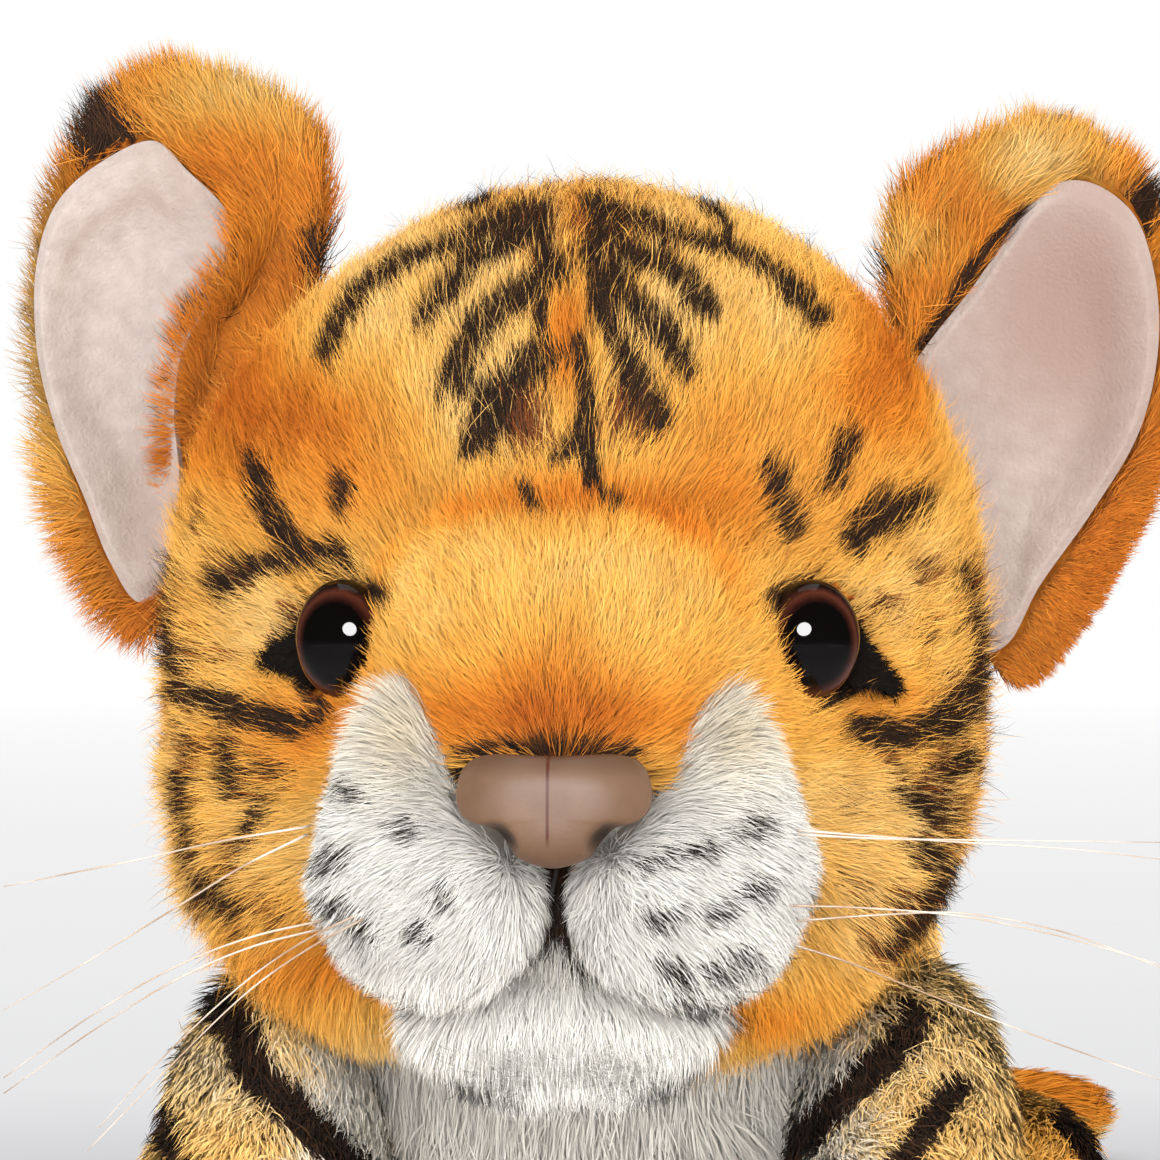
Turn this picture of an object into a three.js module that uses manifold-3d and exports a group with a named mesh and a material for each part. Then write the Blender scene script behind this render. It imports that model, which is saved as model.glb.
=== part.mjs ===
// A plush tiger cub lying down with its head up: sewn skins over separate fillings, a chest ball that
// the head and forelegs turn about, hinged ears, a tail, safety eyes and a safety nose with washers.
// Millimetres. X runs across the face, Y from the face towards the tail, Z up from the floor.

import * as THREE from 'three';
import { mergeVertices } from 'three/addons/utils/BufferGeometryUtils.js';
import Module from 'manifold-3d';

const wasm = await Module();
wasm.setup();

// Clearances and cloth
const gap = 0.3;
const turnGap = 0.9;
const weld = 0.0005;
const overrun = 900;
const plushThickness = 6;
const fillingSlack = 0.5;
const floorCut = 0.5;

// Chest ball and neck
const chestRadius = 56;
const chestSetback = 36;
const gussetThickness = 4;
const gussetHalfAngle = THREE.MathUtils.degToRad(38);
const neckOpeningRadius = 27;

// Torso behind the chest ball
const torsoLength = 190;
const torsoHalfWidth = 58;
const torsoHalfHeight = 53;
const bibHalfWidth = 41;
const bibHalfHeight = 30;
const bibDrop = 10.5;

// Head
const headHalfWidth = 64;
const headHalfDepth = 55;
const headHalfHeight = 67;
const headLift = 117;
const snoutReach = 26;
const chinReach = 11;
const jawReach = 5;
const socketDepth = 3;

// Eyes
const eyeHalfWidth = 7.4;
const eyeHalfHeight = 9;
const eyeBulge = 5.6;
const eyeSink = 0.2;
const eyeRim = 1.6;
const eyeShankRadius = 2.2;
const eyeShankLength = 12;
const eyeWasherRadius = 6.5;
const washerThickness = 1.6;
const cornerHalfWidth = 7;
const cornerHalfHeight = 5.6;
const cornerTuck = 2;
const cornerDrop = 2;
const leftCornerTilt = THREE.MathUtils.degToRad(5);
const rightCornerTilt = THREE.MathUtils.degToRad(28);
const feltThickness = 1.2;
const feltBack = 6;

// Nose
const noseHalfWidth = 14.2;
const noseHalfHeight = 8.2;
const noseBulge = 8;
const noseBack = 5;
const noseReach = 79;
const noseDrop = 29.5;
const noseShankRadius = 2.5;
const noseShankLength = 16;
const noseWasherRadius = 8;
const nostrilRadius = 2.6;
const nostrilSetback = 1.16;

// Muzzle pads, chin and mouth
const muzzleOffset = -1.5;
const padHalfWidth = 19.5;
const padHalfHeight = 22;
const padBulge = 11;
const padBack = 12;
const padReach = 67;
const padDrop = 36;
const padSpread = 18.5;
const padClearance = 0.8;
const chinHalfWidth = 22;
const chinHalfHeight = 10.5;
const chinBulge = 12;
const chinForward = 52;
const chinDrop = 60.5;
const threadRadius = 0.5;
const philtrumHeight = 10;
const mouthHalfWidth = 24;
const mouthSag = 8.5;

// Ears
const earReach = 51;
const earHeight = 92;
const earRootSpread = 40;
const earBaseDrop = 6;
const earThickness = 8;
const earDish = 7;
const earSetback = 5;
const liningInset = 3.5;
const liningThickness = 3;
const earBeadRadius = 5.5;
const earFold = THREE.MathUtils.degToRad(12);
const rightEarLean = THREE.MathUtils.degToRad(8);
const rightEarDrop = 8;

// Whiskers
const whiskerReach = 58;
const whiskerRadius = 0.35;
const whiskerSweep = 9;
const whiskerSpread = 39;

// Legs
const forelegLength = 158;
const forelegSpread = 51;
const forelegHalfWidth = 21;
const forelegHalfHeight = 18;
const shoulderHalfHeight = 32;
const elbowSetback = 6;
const forelegLiftAngle = 4;
const hindSpread = 42;
const hindHalfWidth = 27;
const hindHalfLength = 45;
const hindHalfHeight = 27.5;
const hindBeforeRump = 42;
const footSpread = 71;
const footLength = 92;
const footHalfWidth = 17;
const footHalfHeight = 16;

// Tail and label
const tailRadius = 12;
const tailReach = 84;
const tailSweep = 92;
const tailRootLift = 34;
const tailRootSink = 3;
const tailRootRadius = 14.5;
const tailOpeningRadius = 6;
const labelLength = 15;
const labelHeight = 20;
const labelThickness = 0.9;
const labelOffset = 24;

// How many facets an inner form has beside its outer form, and how near a pole is its point
const innerFacetShare = 0.5;
const poleShare = 0.000001;

// Places worked out from the sizes above
const up = new THREE.Vector3(0, 0, 1);
const chestCentre = new THREE.Vector3(0, chestSetback, chestRadius - floorCut);
const headCentre = new THREE.Vector3(0, 0, headLift);
const rumpEnd = chestSetback + torsoLength;
const hindSetback = rumpEnd - hindBeforeRump;

// Turns a closed geometry into a solid that can be joined and cut
function solidOf(geometry) {
  const bare = geometry.clone();
  bare.deleteAttribute('normal');
  bare.deleteAttribute('uv');
  const merged = mergeVertices(bare, weld);
  return new wasm.Manifold(new wasm.Mesh({
    numProp: 3,
    vertProperties: merged.attributes.position.array,
    triVerts: new Uint32Array(merged.index.array),
  }));
}

// Turns a solid back into a geometry for a mesh
function geometryOf(solid) {
  const { vertProperties, triVerts, numProp } = solid.getMesh();
  const positions = [];
  for (let i = 0; i < vertProperties.length; i += numProp) {
    positions.push(vertProperties[i], vertProperties[i + 1], vertProperties[i + 2]);
  }
  const geometry = new THREE.BufferGeometry();
  geometry.setAttribute('position', new THREE.Float32BufferAttribute(positions, 3));
  geometry.setIndex(Array.from(triVerts));
  geometry.computeVertexNormals();
  return geometry;
}

function join(solids) {
  return solids.reduce((whole, solid) => whole.add(solid));
}

function cut(solid, cutters) {
  return cutters.reduce((rest, cutter) => rest.subtract(cutter), solid);
}

// Moves every point of a geometry by a rule
function reshape(geometry, rule) {
  const places = geometry.attributes.position;
  const point = new THREE.Vector3();
  for (let i = 0; i < places.count; i++) {
    point.fromBufferAttribute(places, i);
    const moved = rule(point);
    places.setXYZ(i, moved.x, moved.y, moved.z);
  }
  return geometry;
}

// Mirrors a geometry to the other side of the face, with its faces still pointing out
function mirrored(geometry) {
  geometry.scale(-1, 1, 1);
  const index = geometry.index;
  for (let i = 0; i < index.count; i += 3) {
    const second = index.getX(i + 1);
    index.setX(i + 1, index.getX(i + 2));
    index.setX(i + 2, second);
  }
  return geometry;
}

// Turns a geometry about an axis through a point
function turned(geometry, centre, axis, angle) {
  const copy = geometry.clone();
  copy.translate(-centre.x, -centre.y, -centre.z);
  copy.applyMatrix4(new THREE.Matrix4().makeRotationAxis(axis, angle));
  copy.translate(centre.x, centre.y, centre.z);
  return copy;
}

// Inner forms have fewer facets than the outer form that hides them
function facets(count, inset) {
  return inset > 0 ? Math.round(count * innerFacetShare) : count;
}

// A long stuffed form: sections along a smooth spine, with ends as full as the share says
function stuffedForm({ spine, halves, sides, rings, fullness }, inset) {
  const path = new THREE.CatmullRomCurve3(spine);
  const sizes = new THREE.CatmullRomCurve3(halves.map(([w, h]) => new THREE.Vector3(w, h, 0)));
  const endInset = inset / path.getLength();
  const sphere = new THREE.SphereGeometry(1, facets(sides, inset), facets(rings, inset));
  return reshape(sphere, (point) => {
    const along = (1 - point.y) / 2;
    const share = THREE.MathUtils.clamp(endInset + along * (1 - 2 * endInset), 0, 1);
    const radius = Math.hypot(point.x, point.z);
    const swell = (1 - Math.abs(2 * along - 1) ** fullness) ** (1 / fullness);
    const tangent = path.getTangent(share);
    const side = new THREE.Vector3().crossVectors(tangent, up).normalize();
    const lift = new THREE.Vector3().crossVectors(side, tangent);
    const half = sizes.getPoint(share);
    const place = path.getPoint(share);
    if (radius < poleShare) return place;
    const sideways = (point.x / radius) * swell * (half.x - inset);
    const upwards = (-point.z / radius) * swell * (half.y - inset);
    return place.addScaledVector(side, sideways).addScaledVector(lift, upwards);
  });
}

// A lobe or sheet with an outline in its own XZ plane, swelling to the front and the back
function lobe({ outline, sides, rings, front, back, dish, fullness }, inset) {
  const edge = new THREE.CatmullRomCurve3(outline.map(([x, z]) => new THREE.Vector3(x, 0, z)), true);
  const middle = outline.reduce((sum, [x, z]) => sum.add(new THREE.Vector3(x, 0, z)), new THREE.Vector3());
  middle.divideScalar(outline.length);
  return reshape(new THREE.SphereGeometry(1, sides, rings), (point) => {
    const radius = Math.min(1, Math.hypot(point.x, point.z));
    const turn = (Math.atan2(point.z, point.x) / (2 * Math.PI) + 1) % 1;
    const rim = edge.getPoint(turn).sub(middle);
    rim.setLength(rim.length() - inset);
    const place = middle.clone().addScaledVector(rim, radius ** fullness);
    place.y = point.y * ((point.y < 0 ? front : back) - inset) + dish * (1 - radius * radius);
    return place;
  });
}

function ball(radius, centre, sides, rings) {
  return new THREE.SphereGeometry(radius, sides, rings).translate(centre.x, centre.y, centre.z);
}

// A rod with its own axis along Y, from the origin towards +Y
function rod(radius, length, sides) {
  return new THREE.CylinderGeometry(radius, radius, length, sides).translate(0, length / 2, 0);
}

// A round cord along a smooth path
function cord(points, radius, sides, steps) {
  const section = new THREE.Shape();
  for (let i = 0; i < sides; i++) {
    const angle = (i / sides) * 2 * Math.PI;
    const corner = [radius * Math.cos(angle), radius * Math.sin(angle)];
    if (i === 0) section.moveTo(...corner);
    else section.lineTo(...corner);
  }
  const extrudePath = new THREE.CatmullRomCurve3(points);
  return new THREE.ExtrudeGeometry(section, { steps, extrudePath, bevelEnabled: false });
}

// The floor, as a block that flattens what rests on it
const floorBlock = solidOf(new THREE.BoxGeometry(overrun, overrun, overrun).translate(0, 0, -overrun / 2));

// Torso: the chest ball joined to a long form that swells again at the haunches
const torsoShares = [
  { along: -0.1, width: 0.9, height: 0.96 },
  { along: 0.18, width: 0.93, height: 1 },
  { along: 0.45, width: 0.92, height: 0.96 },
  { along: 0.72, width: 1, height: 1 },
  { along: 1, width: 0.82, height: 0.84 },
];
const torsoForm = {
  spine: torsoShares.map(({ along, height }) => new THREE.Vector3(
    0,
    chestSetback + along * torsoLength,
    height * torsoHalfHeight - floorCut,
  )),
  halves: torsoShares.map(({ width, height }) => [width * torsoHalfWidth, height * torsoHalfHeight]),
  sides: 20,
  rings: 12,
  fullness: 2.6,
};

function torsoSolid(inset) {
  const barrel = solidOf(stuffedForm(torsoForm, inset));
  const chest = solidOf(ball(chestRadius - inset, chestCentre, facets(24, inset), facets(16, inset)));
  return barrel.add(chest);
}

// Head: an egg with a snout, a chin, jaws and eye sockets, each a smooth swelling of the egg.
// turn and rise are radians around and up the face from straight ahead; spreads are half widths.
const headSwells = [
  { reach: snoutReach, turn: 0, rise: -0.37, turnSpread: 0.5, riseSpread: 0.43 },
  { reach: chinReach, turn: 0, rise: -0.88, turnSpread: 0.5, riseSpread: 0.28 },
  { reach: jawReach, turn: 1.1, rise: -0.55, turnSpread: 0.55, riseSpread: 0.4 },
  { reach: jawReach, turn: -1.1, rise: -0.55, turnSpread: 0.55, riseSpread: 0.4 },
  { reach: -socketDepth, turn: 0.66, rise: -0.05, turnSpread: 0.24, riseSpread: 0.22 },
  { reach: -socketDepth, turn: -0.66, rise: -0.05, turnSpread: 0.24, riseSpread: 0.22 },
];
const swellPower = 2.5;

function headRadius(direction) {
  const turn = Math.atan2(direction.x, -direction.y);
  const rise = Math.asin(THREE.MathUtils.clamp(direction.z, -1, 1));
  const egg = 1 / Math.hypot(
    direction.x / headHalfWidth,
    direction.y / headHalfDepth,
    direction.z / headHalfHeight,
  );
  return headSwells.reduce((radius, swell) => {
    const turnFall = Math.abs((turn - swell.turn) / swell.turnSpread) ** swellPower;
    const riseFall = Math.abs((rise - swell.rise) / swell.riseSpread) ** swellPower;
    return radius + swell.reach * Math.exp(-turnFall - riseFall);
  }, egg);
}

function headPoint(turn, rise, inset) {
  const direction = new THREE.Vector3(
    Math.sin(turn) * Math.cos(rise),
    -Math.cos(turn) * Math.cos(rise),
    Math.sin(rise),
  );
  return direction.multiplyScalar(headRadius(direction) - inset).add(headCentre);
}

function headForm(inset) {
  const sphere = new THREE.SphereGeometry(1, facets(22, inset), facets(16, inset));
  return reshape(sphere, (point) => {
    const direction = point.clone().normalize();
    return direction.multiplyScalar(headRadius(direction) - inset).add(headCentre);
  });
}

const headOuter = solidOf(headForm(0));
const headCleared = solidOf(headForm(-gap));
const headInner = solidOf(headForm(plushThickness));
const headFillingForm = solidOf(headForm(plushThickness + fillingSlack));

// Neck gusset: a band of cloth on the chest ball, open in the middle, that the head nods on
const neckAxis = headCentre.clone().sub(chestCentre).normalize();
const gussetInner = chestRadius + turnGap;
const gussetOuter = gussetInner + gussetThickness;
const headSeat = gussetOuter + turnGap;

function alongNeck(geometry) {
  const turn = new THREE.Quaternion().setFromUnitVectors(new THREE.Vector3(0, 1, 0), neckAxis);
  geometry.applyQuaternion(turn);
  return geometry.translate(chestCentre.x, chestCentre.y, chestCentre.z);
}

function neckGusset() {
  const outer = solidOf(ball(gussetOuter, chestCentre, 24, 16));
  const inner = solidOf(ball(gussetInner, chestCentre, 24, 16));
  const cone = solidOf(alongNeck(new THREE.ConeGeometry(
    Math.tan(gussetHalfAngle) * overrun,
    overrun,
    24,
  ).rotateX(Math.PI).translate(0, overrun / 2, 0)));
  const opening = solidOf(alongNeck(rod(neckOpeningRadius, overrun, 20)));
  return outer.intersect(cone).subtract(inner).subtract(opening);
}

const headSocket = solidOf(ball(headSeat, chestCentre, 24, 16));
const neckOpening = solidOf(alongNeck(rod(neckOpeningRadius, overrun, 20)));

// A place on the face: its origin on the skin, its own -Y pointing out of the face
function onFace(geometry, place, turn, tilt) {
  geometry.applyMatrix4(new THREE.Matrix4().makeRotationX(tilt));
  geometry.applyMatrix4(new THREE.Matrix4().makeRotationZ(turn));
  return geometry.translate(place.x, place.y, place.z);
}

// Eyes: a dome with a shank through the skin, held by a washer inside
const eyeTurn = 0.657;
const eyeRise = -0.084;
const eyeFacing = 0.32;

function eyePlace(side) {
  return headPoint(side * eyeTurn, eyeRise, eyeSink);
}

function eyeDome(side, grown) {
  const arc = [];
  const steps = 5;
  for (let i = 0; i <= steps; i++) {
    const angle = (i / steps) * Math.PI / 2;
    arc.push(new THREE.Vector2(Math.sin(angle), Math.cos(angle)));
  }
  const profile = arc.map((point) => new THREE.Vector2(
    point.x * (eyeHalfHeight + grown),
    point.y * (eyeBulge + grown),
  ));
  profile.push(new THREE.Vector2(eyeHalfHeight + grown, -eyeRim - grown));
  profile.push(new THREE.Vector2(0, -eyeRim - grown));
  profile.reverse();
  const dome = new THREE.LatheGeometry(profile, 18);
  dome.scale(eyeHalfWidth / eyeHalfHeight, 1, 1).rotateX(Math.PI);
  return solidOf(onFace(dome, eyePlace(side), side * eyeFacing, 0));
}

function eyeShank(side, grown) {
  const shank = rod(eyeShankRadius + grown, eyeShankLength + grown, 8);
  return solidOf(onFace(shank, eyePlace(side), side * eyeFacing, 0));
}

function eyeWasher(side, grown) {
  const washer = rod(eyeWasherRadius + grown, washerThickness + 2 * grown, 14);
  washer.translate(0, plushThickness + eyeRim - grown, 0);
  const whole = solidOf(onFace(washer, eyePlace(side), side * eyeFacing, 0));
  return grown > 0 ? whole : whole.subtract(eyeShank(side, gap));
}

// Eye corner: a small black felt triangle beside the eye, that points out and down
const cornerShares = [[1, 0], [0.45, 0.32], [-0.1, 0.62], [-0.6, 0.92], [-0.95, 0.9], [-1, 0],
  [-0.95, -0.9], [-0.6, -0.85], [-0.1, -0.5], [0.45, -0.22]];

function eyeCorner(side) {
  const outline = cornerShares.map(([x, z]) => [x * cornerHalfWidth, z * cornerHalfHeight]);
  const shape = {
    outline,
    sides: 16,
    rings: 6,
    front: feltThickness + feltBack,
    back: feltBack,
    dish: 0,
    fullness: 1,
  };
  const tilt = side < 0 ? leftCornerTilt : rightCornerTilt;
  const patch = lobe(shape, 0);
  if (side < 0) mirrored(patch);
  patch.rotateY(side * tilt);
  const turn = eyeTurn + (eyeHalfWidth + cornerHalfWidth * Math.cos(tilt) - cornerTuck) / headHalfWidth;
  const rise = eyeRise - (cornerDrop + cornerHalfWidth * Math.sin(tilt)) / headHalfHeight;
  const place = headPoint(side * turn, rise, 0);
  return cut(solidOf(onFace(patch, place, side * turn, 0)), [headCleared, eyeDome(side, gap)]);
}

// Nose: a rounded wedge with two nostril dents and a shank
const noseShares = [[1, 0.28], [0.9, 0.76], [0.68, 0.98], [0, 0.92], [-0.68, 0.98], [-0.9, 0.76],
  [-1, 0.28], [-0.86, -0.2], [-0.56, -0.55], [-0.3, -0.95], [0, -1.02], [0.3, -0.95], [0.56, -0.55],
  [0.86, -0.2]];
const nosePlace = new THREE.Vector3(muzzleOffset, -noseReach, headLift - noseDrop);
const nostrilShares = [0.58, -0.42];

function noseBody(grown) {
  const outline = noseShares.map(([x, z]) => [x * noseHalfWidth, z * noseHalfHeight]);
  const shape = {
    outline,
    sides: 20,
    rings: 8,
    front: noseBulge,
    back: noseBack,
    dish: 0,
    fullness: 0.7,
  };
  return solidOf(lobe(shape, -grown).translate(nosePlace.x, nosePlace.y, nosePlace.z));
}

function noseShank(grown) {
  const shank = rod(noseShankRadius + grown, noseShankLength + grown, 8);
  return solidOf(shank.translate(nosePlace.x, nosePlace.y, nosePlace.z));
}

function nose() {
  const [outShare, upShare] = nostrilShares;
  const dents = [-1, 1].map((side) => solidOf(ball(nostrilRadius, new THREE.Vector3(
    nosePlace.x + side * outShare * noseHalfWidth,
    nosePlace.y - noseBulge + nostrilSetback,
    nosePlace.z + upShare * noseHalfHeight,
  ), 8, 6)));
  return cut(noseBody(0).add(noseShank(0)), dents);
}

function noseWasher(grown) {
  const washer = rod(noseWasherRadius + grown, washerThickness + 2 * grown, 14);
  washer.translate(nosePlace.x, nosePlace.y + noseBack + plushThickness - grown, nosePlace.z);
  const whole = solidOf(washer);
  return grown > 0 ? whole : whole.subtract(noseShank(gap));
}

// Muzzle pads: two white stuffed lobes beside and under the nose
const padShares = [[1, -0.2], [0.9, 0.25], [0.62, 0.75], [0.3, 1.06], [0.08, 0.95], [-0.3, 0.5],
  [-0.75, 0.1], [-0.93, -0.25], [-0.88, -0.62], [-0.5, -0.92], [0.05, -1], [0.62, -0.8]];
const padTurn = 0.5;

function muzzlePad(side, grown) {
  const outline = padShares.map(([x, z]) => [x * padHalfWidth, z * padHalfHeight]);
  const shape = {
    outline,
    sides: 18,
    rings: 10,
    front: padBulge,
    back: padBack,
    dish: 0,
    fullness: 0.7,
  };
  const pad = lobe(shape, -grown);
  if (side < 0) mirrored(pad);
  const place = new THREE.Vector3(muzzleOffset + side * padSpread, -padReach, headLift - padDrop);
  const whole = solidOf(onFace(pad, place, side * padTurn, 0));
  const otherHalf = new THREE.BoxGeometry(overrun, overrun, overrun);
  otherHalf.translate(muzzleOffset - side * (overrun / 2 - padClearance + grown), 0, 0);
  return cut(whole, [headCleared, noseBody(gap), solidOf(otherHalf)]);
}

// Chin: a white lobe under the mouth
const chinShares = [[1, 0], [0.8, 0.55], [0.35, 0.9], [0, 1], [-0.35, 0.9], [-0.8, 0.55], [-1, 0],
  [-0.72, -0.7], [-0.3, -0.98], [0, -1.02], [0.3, -0.98], [0.72, -0.7]];

function chinPad(grown) {
  const outline = chinShares.map(([x, z]) => [x * chinHalfWidth, z * chinHalfHeight]);
  const shape = {
    outline,
    sides: 16,
    rings: 8,
    front: chinBulge,
    back: chinBulge,
    dish: 0,
    fullness: 0.85,
  };
  const pad = lobe(shape, -grown).translate(muzzleOffset, -chinForward, headLift - chinDrop);
  return cut(solidOf(pad), [headCleared, muzzlePad(-1, gap), muzzlePad(1, gap)]);
}

// Ears: a fur back on a rolled root bead that folds against the head, with a velour lining in front
const earShares = [[1, 0.59], [0.92, 0.78], [0.78, 0.93], [0.5, 1], [0.24, 0.96], [0.03, 0.86], [0, 0.7],
  [0.1, 0.48], [0.24, 0.28], [0.42, 0.08], [0.62, 0], [0.78, 0.1], [0.92, 0.26], [0.98, 0.42]];
const earRootShares = [[0.05, 0.67], [0.54, 0.03]];

// Where the linings end: the front edge of each ear is folded over its lining, each its own way
const leftLiningShares = [[0.59, 0.87], [0.77, 0.83], [0.9, 0.76], [0.96, 0.66], [0.96, 0.51], [0.9, 0.37],
  [0.81, 0.25], [0.73, 0.14], [0.64, 0.07], [0.55, 0.1], [0.5, 0.24], [0.52, 0.4], [0.49, 0.51],
  [0.36, 0.64], [0.36, 0.74], [0.49, 0.82]];
const rightLiningShares = [[0.14, 0.53], [0.31, 0.71], [0.49, 0.89], [0.61, 0.91], [0.76, 0.87],
  [0.85, 0.78], [0.9, 0.65], [0.88, 0.5], [0.77, 0.35], [0.64, 0.21], [0.56, 0.1], [0.46, 0.08],
  [0.26, 0.3], [0.14, 0.44]];

function earPoint([outShare, upShare]) {
  return new THREE.Vector3(
    earRootSpread + outShare * earReach,
    earSetback,
    headLift - earBaseDrop + upShare * earHeight,
  );
}

const [earRootTop, earRootFoot] = earRootShares.map(earPoint);
const earRootMiddle = earRootTop.clone().add(earRootFoot).divideScalar(2);

// Leans an ear out from the head about its root, and lowers it
function leaned(geometry, lean, drop) {
  return turned(geometry, earRootMiddle, new THREE.Vector3(0, 1, 0), lean).translate(0, 0, -drop);
}

function earSheet(inset, thickness, forward) {
  const outline = earShares.map(earPoint).map((point) => [point.x, point.z]);
  const shape = {
    outline,
    sides: 18,
    rings: 7,
    front: thickness / 2 + inset,
    back: thickness / 2 + inset,
    dish: earDish,
    fullness: 0.6,
  };
  const sheet = lobe(shape, inset);
  return sheet.translate(0, earSetback - forward, 0);
}

function earBead(grown) {
  const root = earRootTop.clone().sub(earRootFoot);
  const bead = new THREE.CapsuleGeometry(earBeadRadius + grown, root.length(), 2, 8);
  bead.applyQuaternion(new THREE.Quaternion().setFromUnitVectors(
    new THREE.Vector3(0, 1, 0),
    root.clone().normalize(),
  ));
  return bead.translate(earRootMiddle.x, earRootMiddle.y, earRootMiddle.z);
}

// A block across the ear with a lining's outline
function liningBlock(shares, grown) {
  const points = shares.map(earPoint).map((point) => new THREE.Vector2(point.x, point.z));
  const middle = points.reduce((sum, point) => sum.add(point), new THREE.Vector2()).divideScalar(points.length);
  const edge = points.map((point) => {
    const rim = point.clone().sub(middle);
    return rim.setLength(rim.length() + grown).add(middle);
  });
  const outline = new THREE.Shape(new THREE.SplineCurve([...edge, edge[0]]).getPoints(2 * edge.length));
  const block = new THREE.ExtrudeGeometry(outline, { depth: overrun, steps: 1, bevelEnabled: false });
  return block.rotateX(Math.PI / 2).translate(0, overrun / 2, 0);
}

// The head as the ear meets it at rest and at both ends of its fold
function headFromEar(lean, drop) {
  const root = earRootTop.clone().sub(earRootFoot).normalize();
  root.applyAxisAngle(new THREE.Vector3(0, 1, 0), lean);
  const centre = earRootMiddle.clone();
  centre.z -= drop;
  return [-1, 0, 1].map((share) => solidOf(turned(headForm(-gap), centre, root, share * earFold)));
}

function earPieces(lean, drop, liningShares) {
  const place = (geometry) => solidOf(leaned(geometry, lean, drop));
  const head = headFromEar(lean, drop);
  const within = (sheet, grown) => place(sheet).intersect(place(liningBlock(liningShares, grown)));
  const lining = cut(within(earSheet(liningInset, liningThickness, earThickness / 2), 0), [
    ...head,
    place(earBead(gap)),
  ]);
  const liningRoom = within(earSheet(liningInset - gap, liningThickness + 2 * gap, earThickness / 2), gap);
  const back = cut(place(earSheet(0, earThickness, 0)), head).add(place(earBead(0)));
  return { back: back.subtract(liningRoom), lining };
}

const earPlaces = [
  { side: -1, word: 'left', lean: 0, drop: 0, liningShares: leftLiningShares },
  { side: 1, word: 'right', lean: rightEarLean, drop: rightEarDrop, liningShares: rightLiningShares },
];

function earRoomInHead({ side, lean, drop }) {
  const bead = leaned(earBead(turnGap), lean, drop);
  return solidOf(side < 0 ? mirrored(bead) : bead);
}

// Forelegs: one stuffed form from the shoulder to the paw, lying on the floor beside the chest
const forelegShares = [
  { along: 0, out: 0.9, width: 0.86, rise: 0.85 },
  { along: 0.2, out: 0.93, width: 0.94, rise: 1 },
  { along: 0.45, out: 0.99, width: 0.94, rise: 0.4 },
  { along: 0.74, out: 1, width: 0.86, rise: -0.15 },
  { along: 1, out: 0.97, width: 1.08, rise: 0.02 },
];

function forelegForm(side) {
  const height = (rise) => forelegHalfHeight + rise * (shoulderHalfHeight - forelegHalfHeight);
  return {
    spine: forelegShares.map(({ along, out, rise }) => new THREE.Vector3(
      side * out * forelegSpread,
      chestSetback + elbowSetback - along * forelegLength,
      height(rise) - floorCut,
    )),
    halves: forelegShares.map(({ width, rise }) => [width * forelegHalfWidth, height(rise)]),
    sides: 16,
    rings: 11,
    fullness: 3,
  };
}

// Hind legs: a broad thigh and a long foot, lying on the floor beside the haunches
const footShares = [
  { along: 0, out: 0.74, size: 0.95 },
  { along: 0.35, out: 0.92, size: 0.92 },
  { along: 0.7, out: 1, size: 0.94 },
  { along: 1, out: 1, size: 1 },
];

function thighForm(side) {
  const ends = [-1, 1];
  return {
    spine: ends.map((end) => new THREE.Vector3(
      side * hindSpread,
      hindSetback - end * hindHalfLength,
      hindHalfHeight - floorCut,
    )),
    halves: ends.map(() => [hindHalfWidth, hindHalfHeight]),
    sides: 16,
    rings: 9,
    fullness: 2.1,
  };
}

function footForm(side) {
  return {
    spine: footShares.map(({ along, out, size }) => new THREE.Vector3(
      side * out * footSpread,
      hindSetback + hindHalfLength / 2 - along * footLength,
      size * footHalfHeight - floorCut,
    )),
    halves: footShares.map(({ size }) => [size * footHalfWidth, size * footHalfHeight]),
    sides: 12,
    rings: 8,
    fullness: 3,
  };
}

// A leg of one or more forms: its skin with the sewn end open, and its filling
function leg(forms, torsoRooms) {
  const at = (inset) => join(forms.map((form) => solidOf(stuffedForm(form, inset))));
  const skin = cut(at(0), [at(plushThickness), ...torsoRooms, floorBlock]);
  const filling = cut(at(plushThickness + fillingSlack), torsoRooms);
  return { skin, filling };
}

// The torso as a foreleg meets it at rest and as it lifts about the chest
function torsoFromForeleg() {
  const torso = torsoSolid(-turnGap).translate(-chestCentre.x, -chestCentre.y, -chestCentre.z);
  return [0, 1].map((share) => (
    torso.rotate([share * forelegLiftAngle, 0, 0]).translate(chestCentre.x, chestCentre.y, chestCentre.z)
  ));
}

// Tail: from a root ball in the rump down to the floor and round to one side
const tailShares = [
  { back: -0.08, out: 0, lift: 1.05, size: 1 },
  { back: 0.28, out: 0.01, lift: 0.5, size: 1 },
  { back: 0.55, out: 0.08, lift: 0.06, size: 0.98 },
  { back: 0.82, out: 0.3, lift: 0, size: 0.95 },
  { back: 0.97, out: 0.63, lift: 0, size: 0.92 },
  { back: 1, out: 1, lift: 0, size: 0.9 },
];
const tailRoot = new THREE.Vector3(0, rumpEnd - tailRootSink, tailRootLift);
const tailForm = {
  spine: tailShares.map(({ back, out, lift, size }) => new THREE.Vector3(
    out * tailSweep,
    tailRoot.y + back * tailReach,
    lift * tailRootLift + (1 - lift) * (size * tailRadius - floorCut),
  )),
  halves: tailShares.map(({ size }) => [size * tailRadius, size * tailRadius]),
  sides: 12,
  rings: 12,
  fullness: 5,
};

function tailSolid(inset) {
  const root = solidOf(ball(tailRootRadius - inset, tailRoot, 16, 12));
  return solidOf(stuffedForm(tailForm, inset)).add(root);
}

function tail() {
  const seam = rod(tailOpeningRadius, overrun, 12).rotateX(Math.PI);
  const seamOpening = solidOf(seam.translate(tailRoot.x, tailRoot.y, tailRoot.z));
  const skin = cut(tailSolid(0), [tailSolid(plushThickness), seamOpening, floorBlock]);
  return { skin, filling: tailSolid(plushThickness + fillingSlack) };
}

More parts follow.
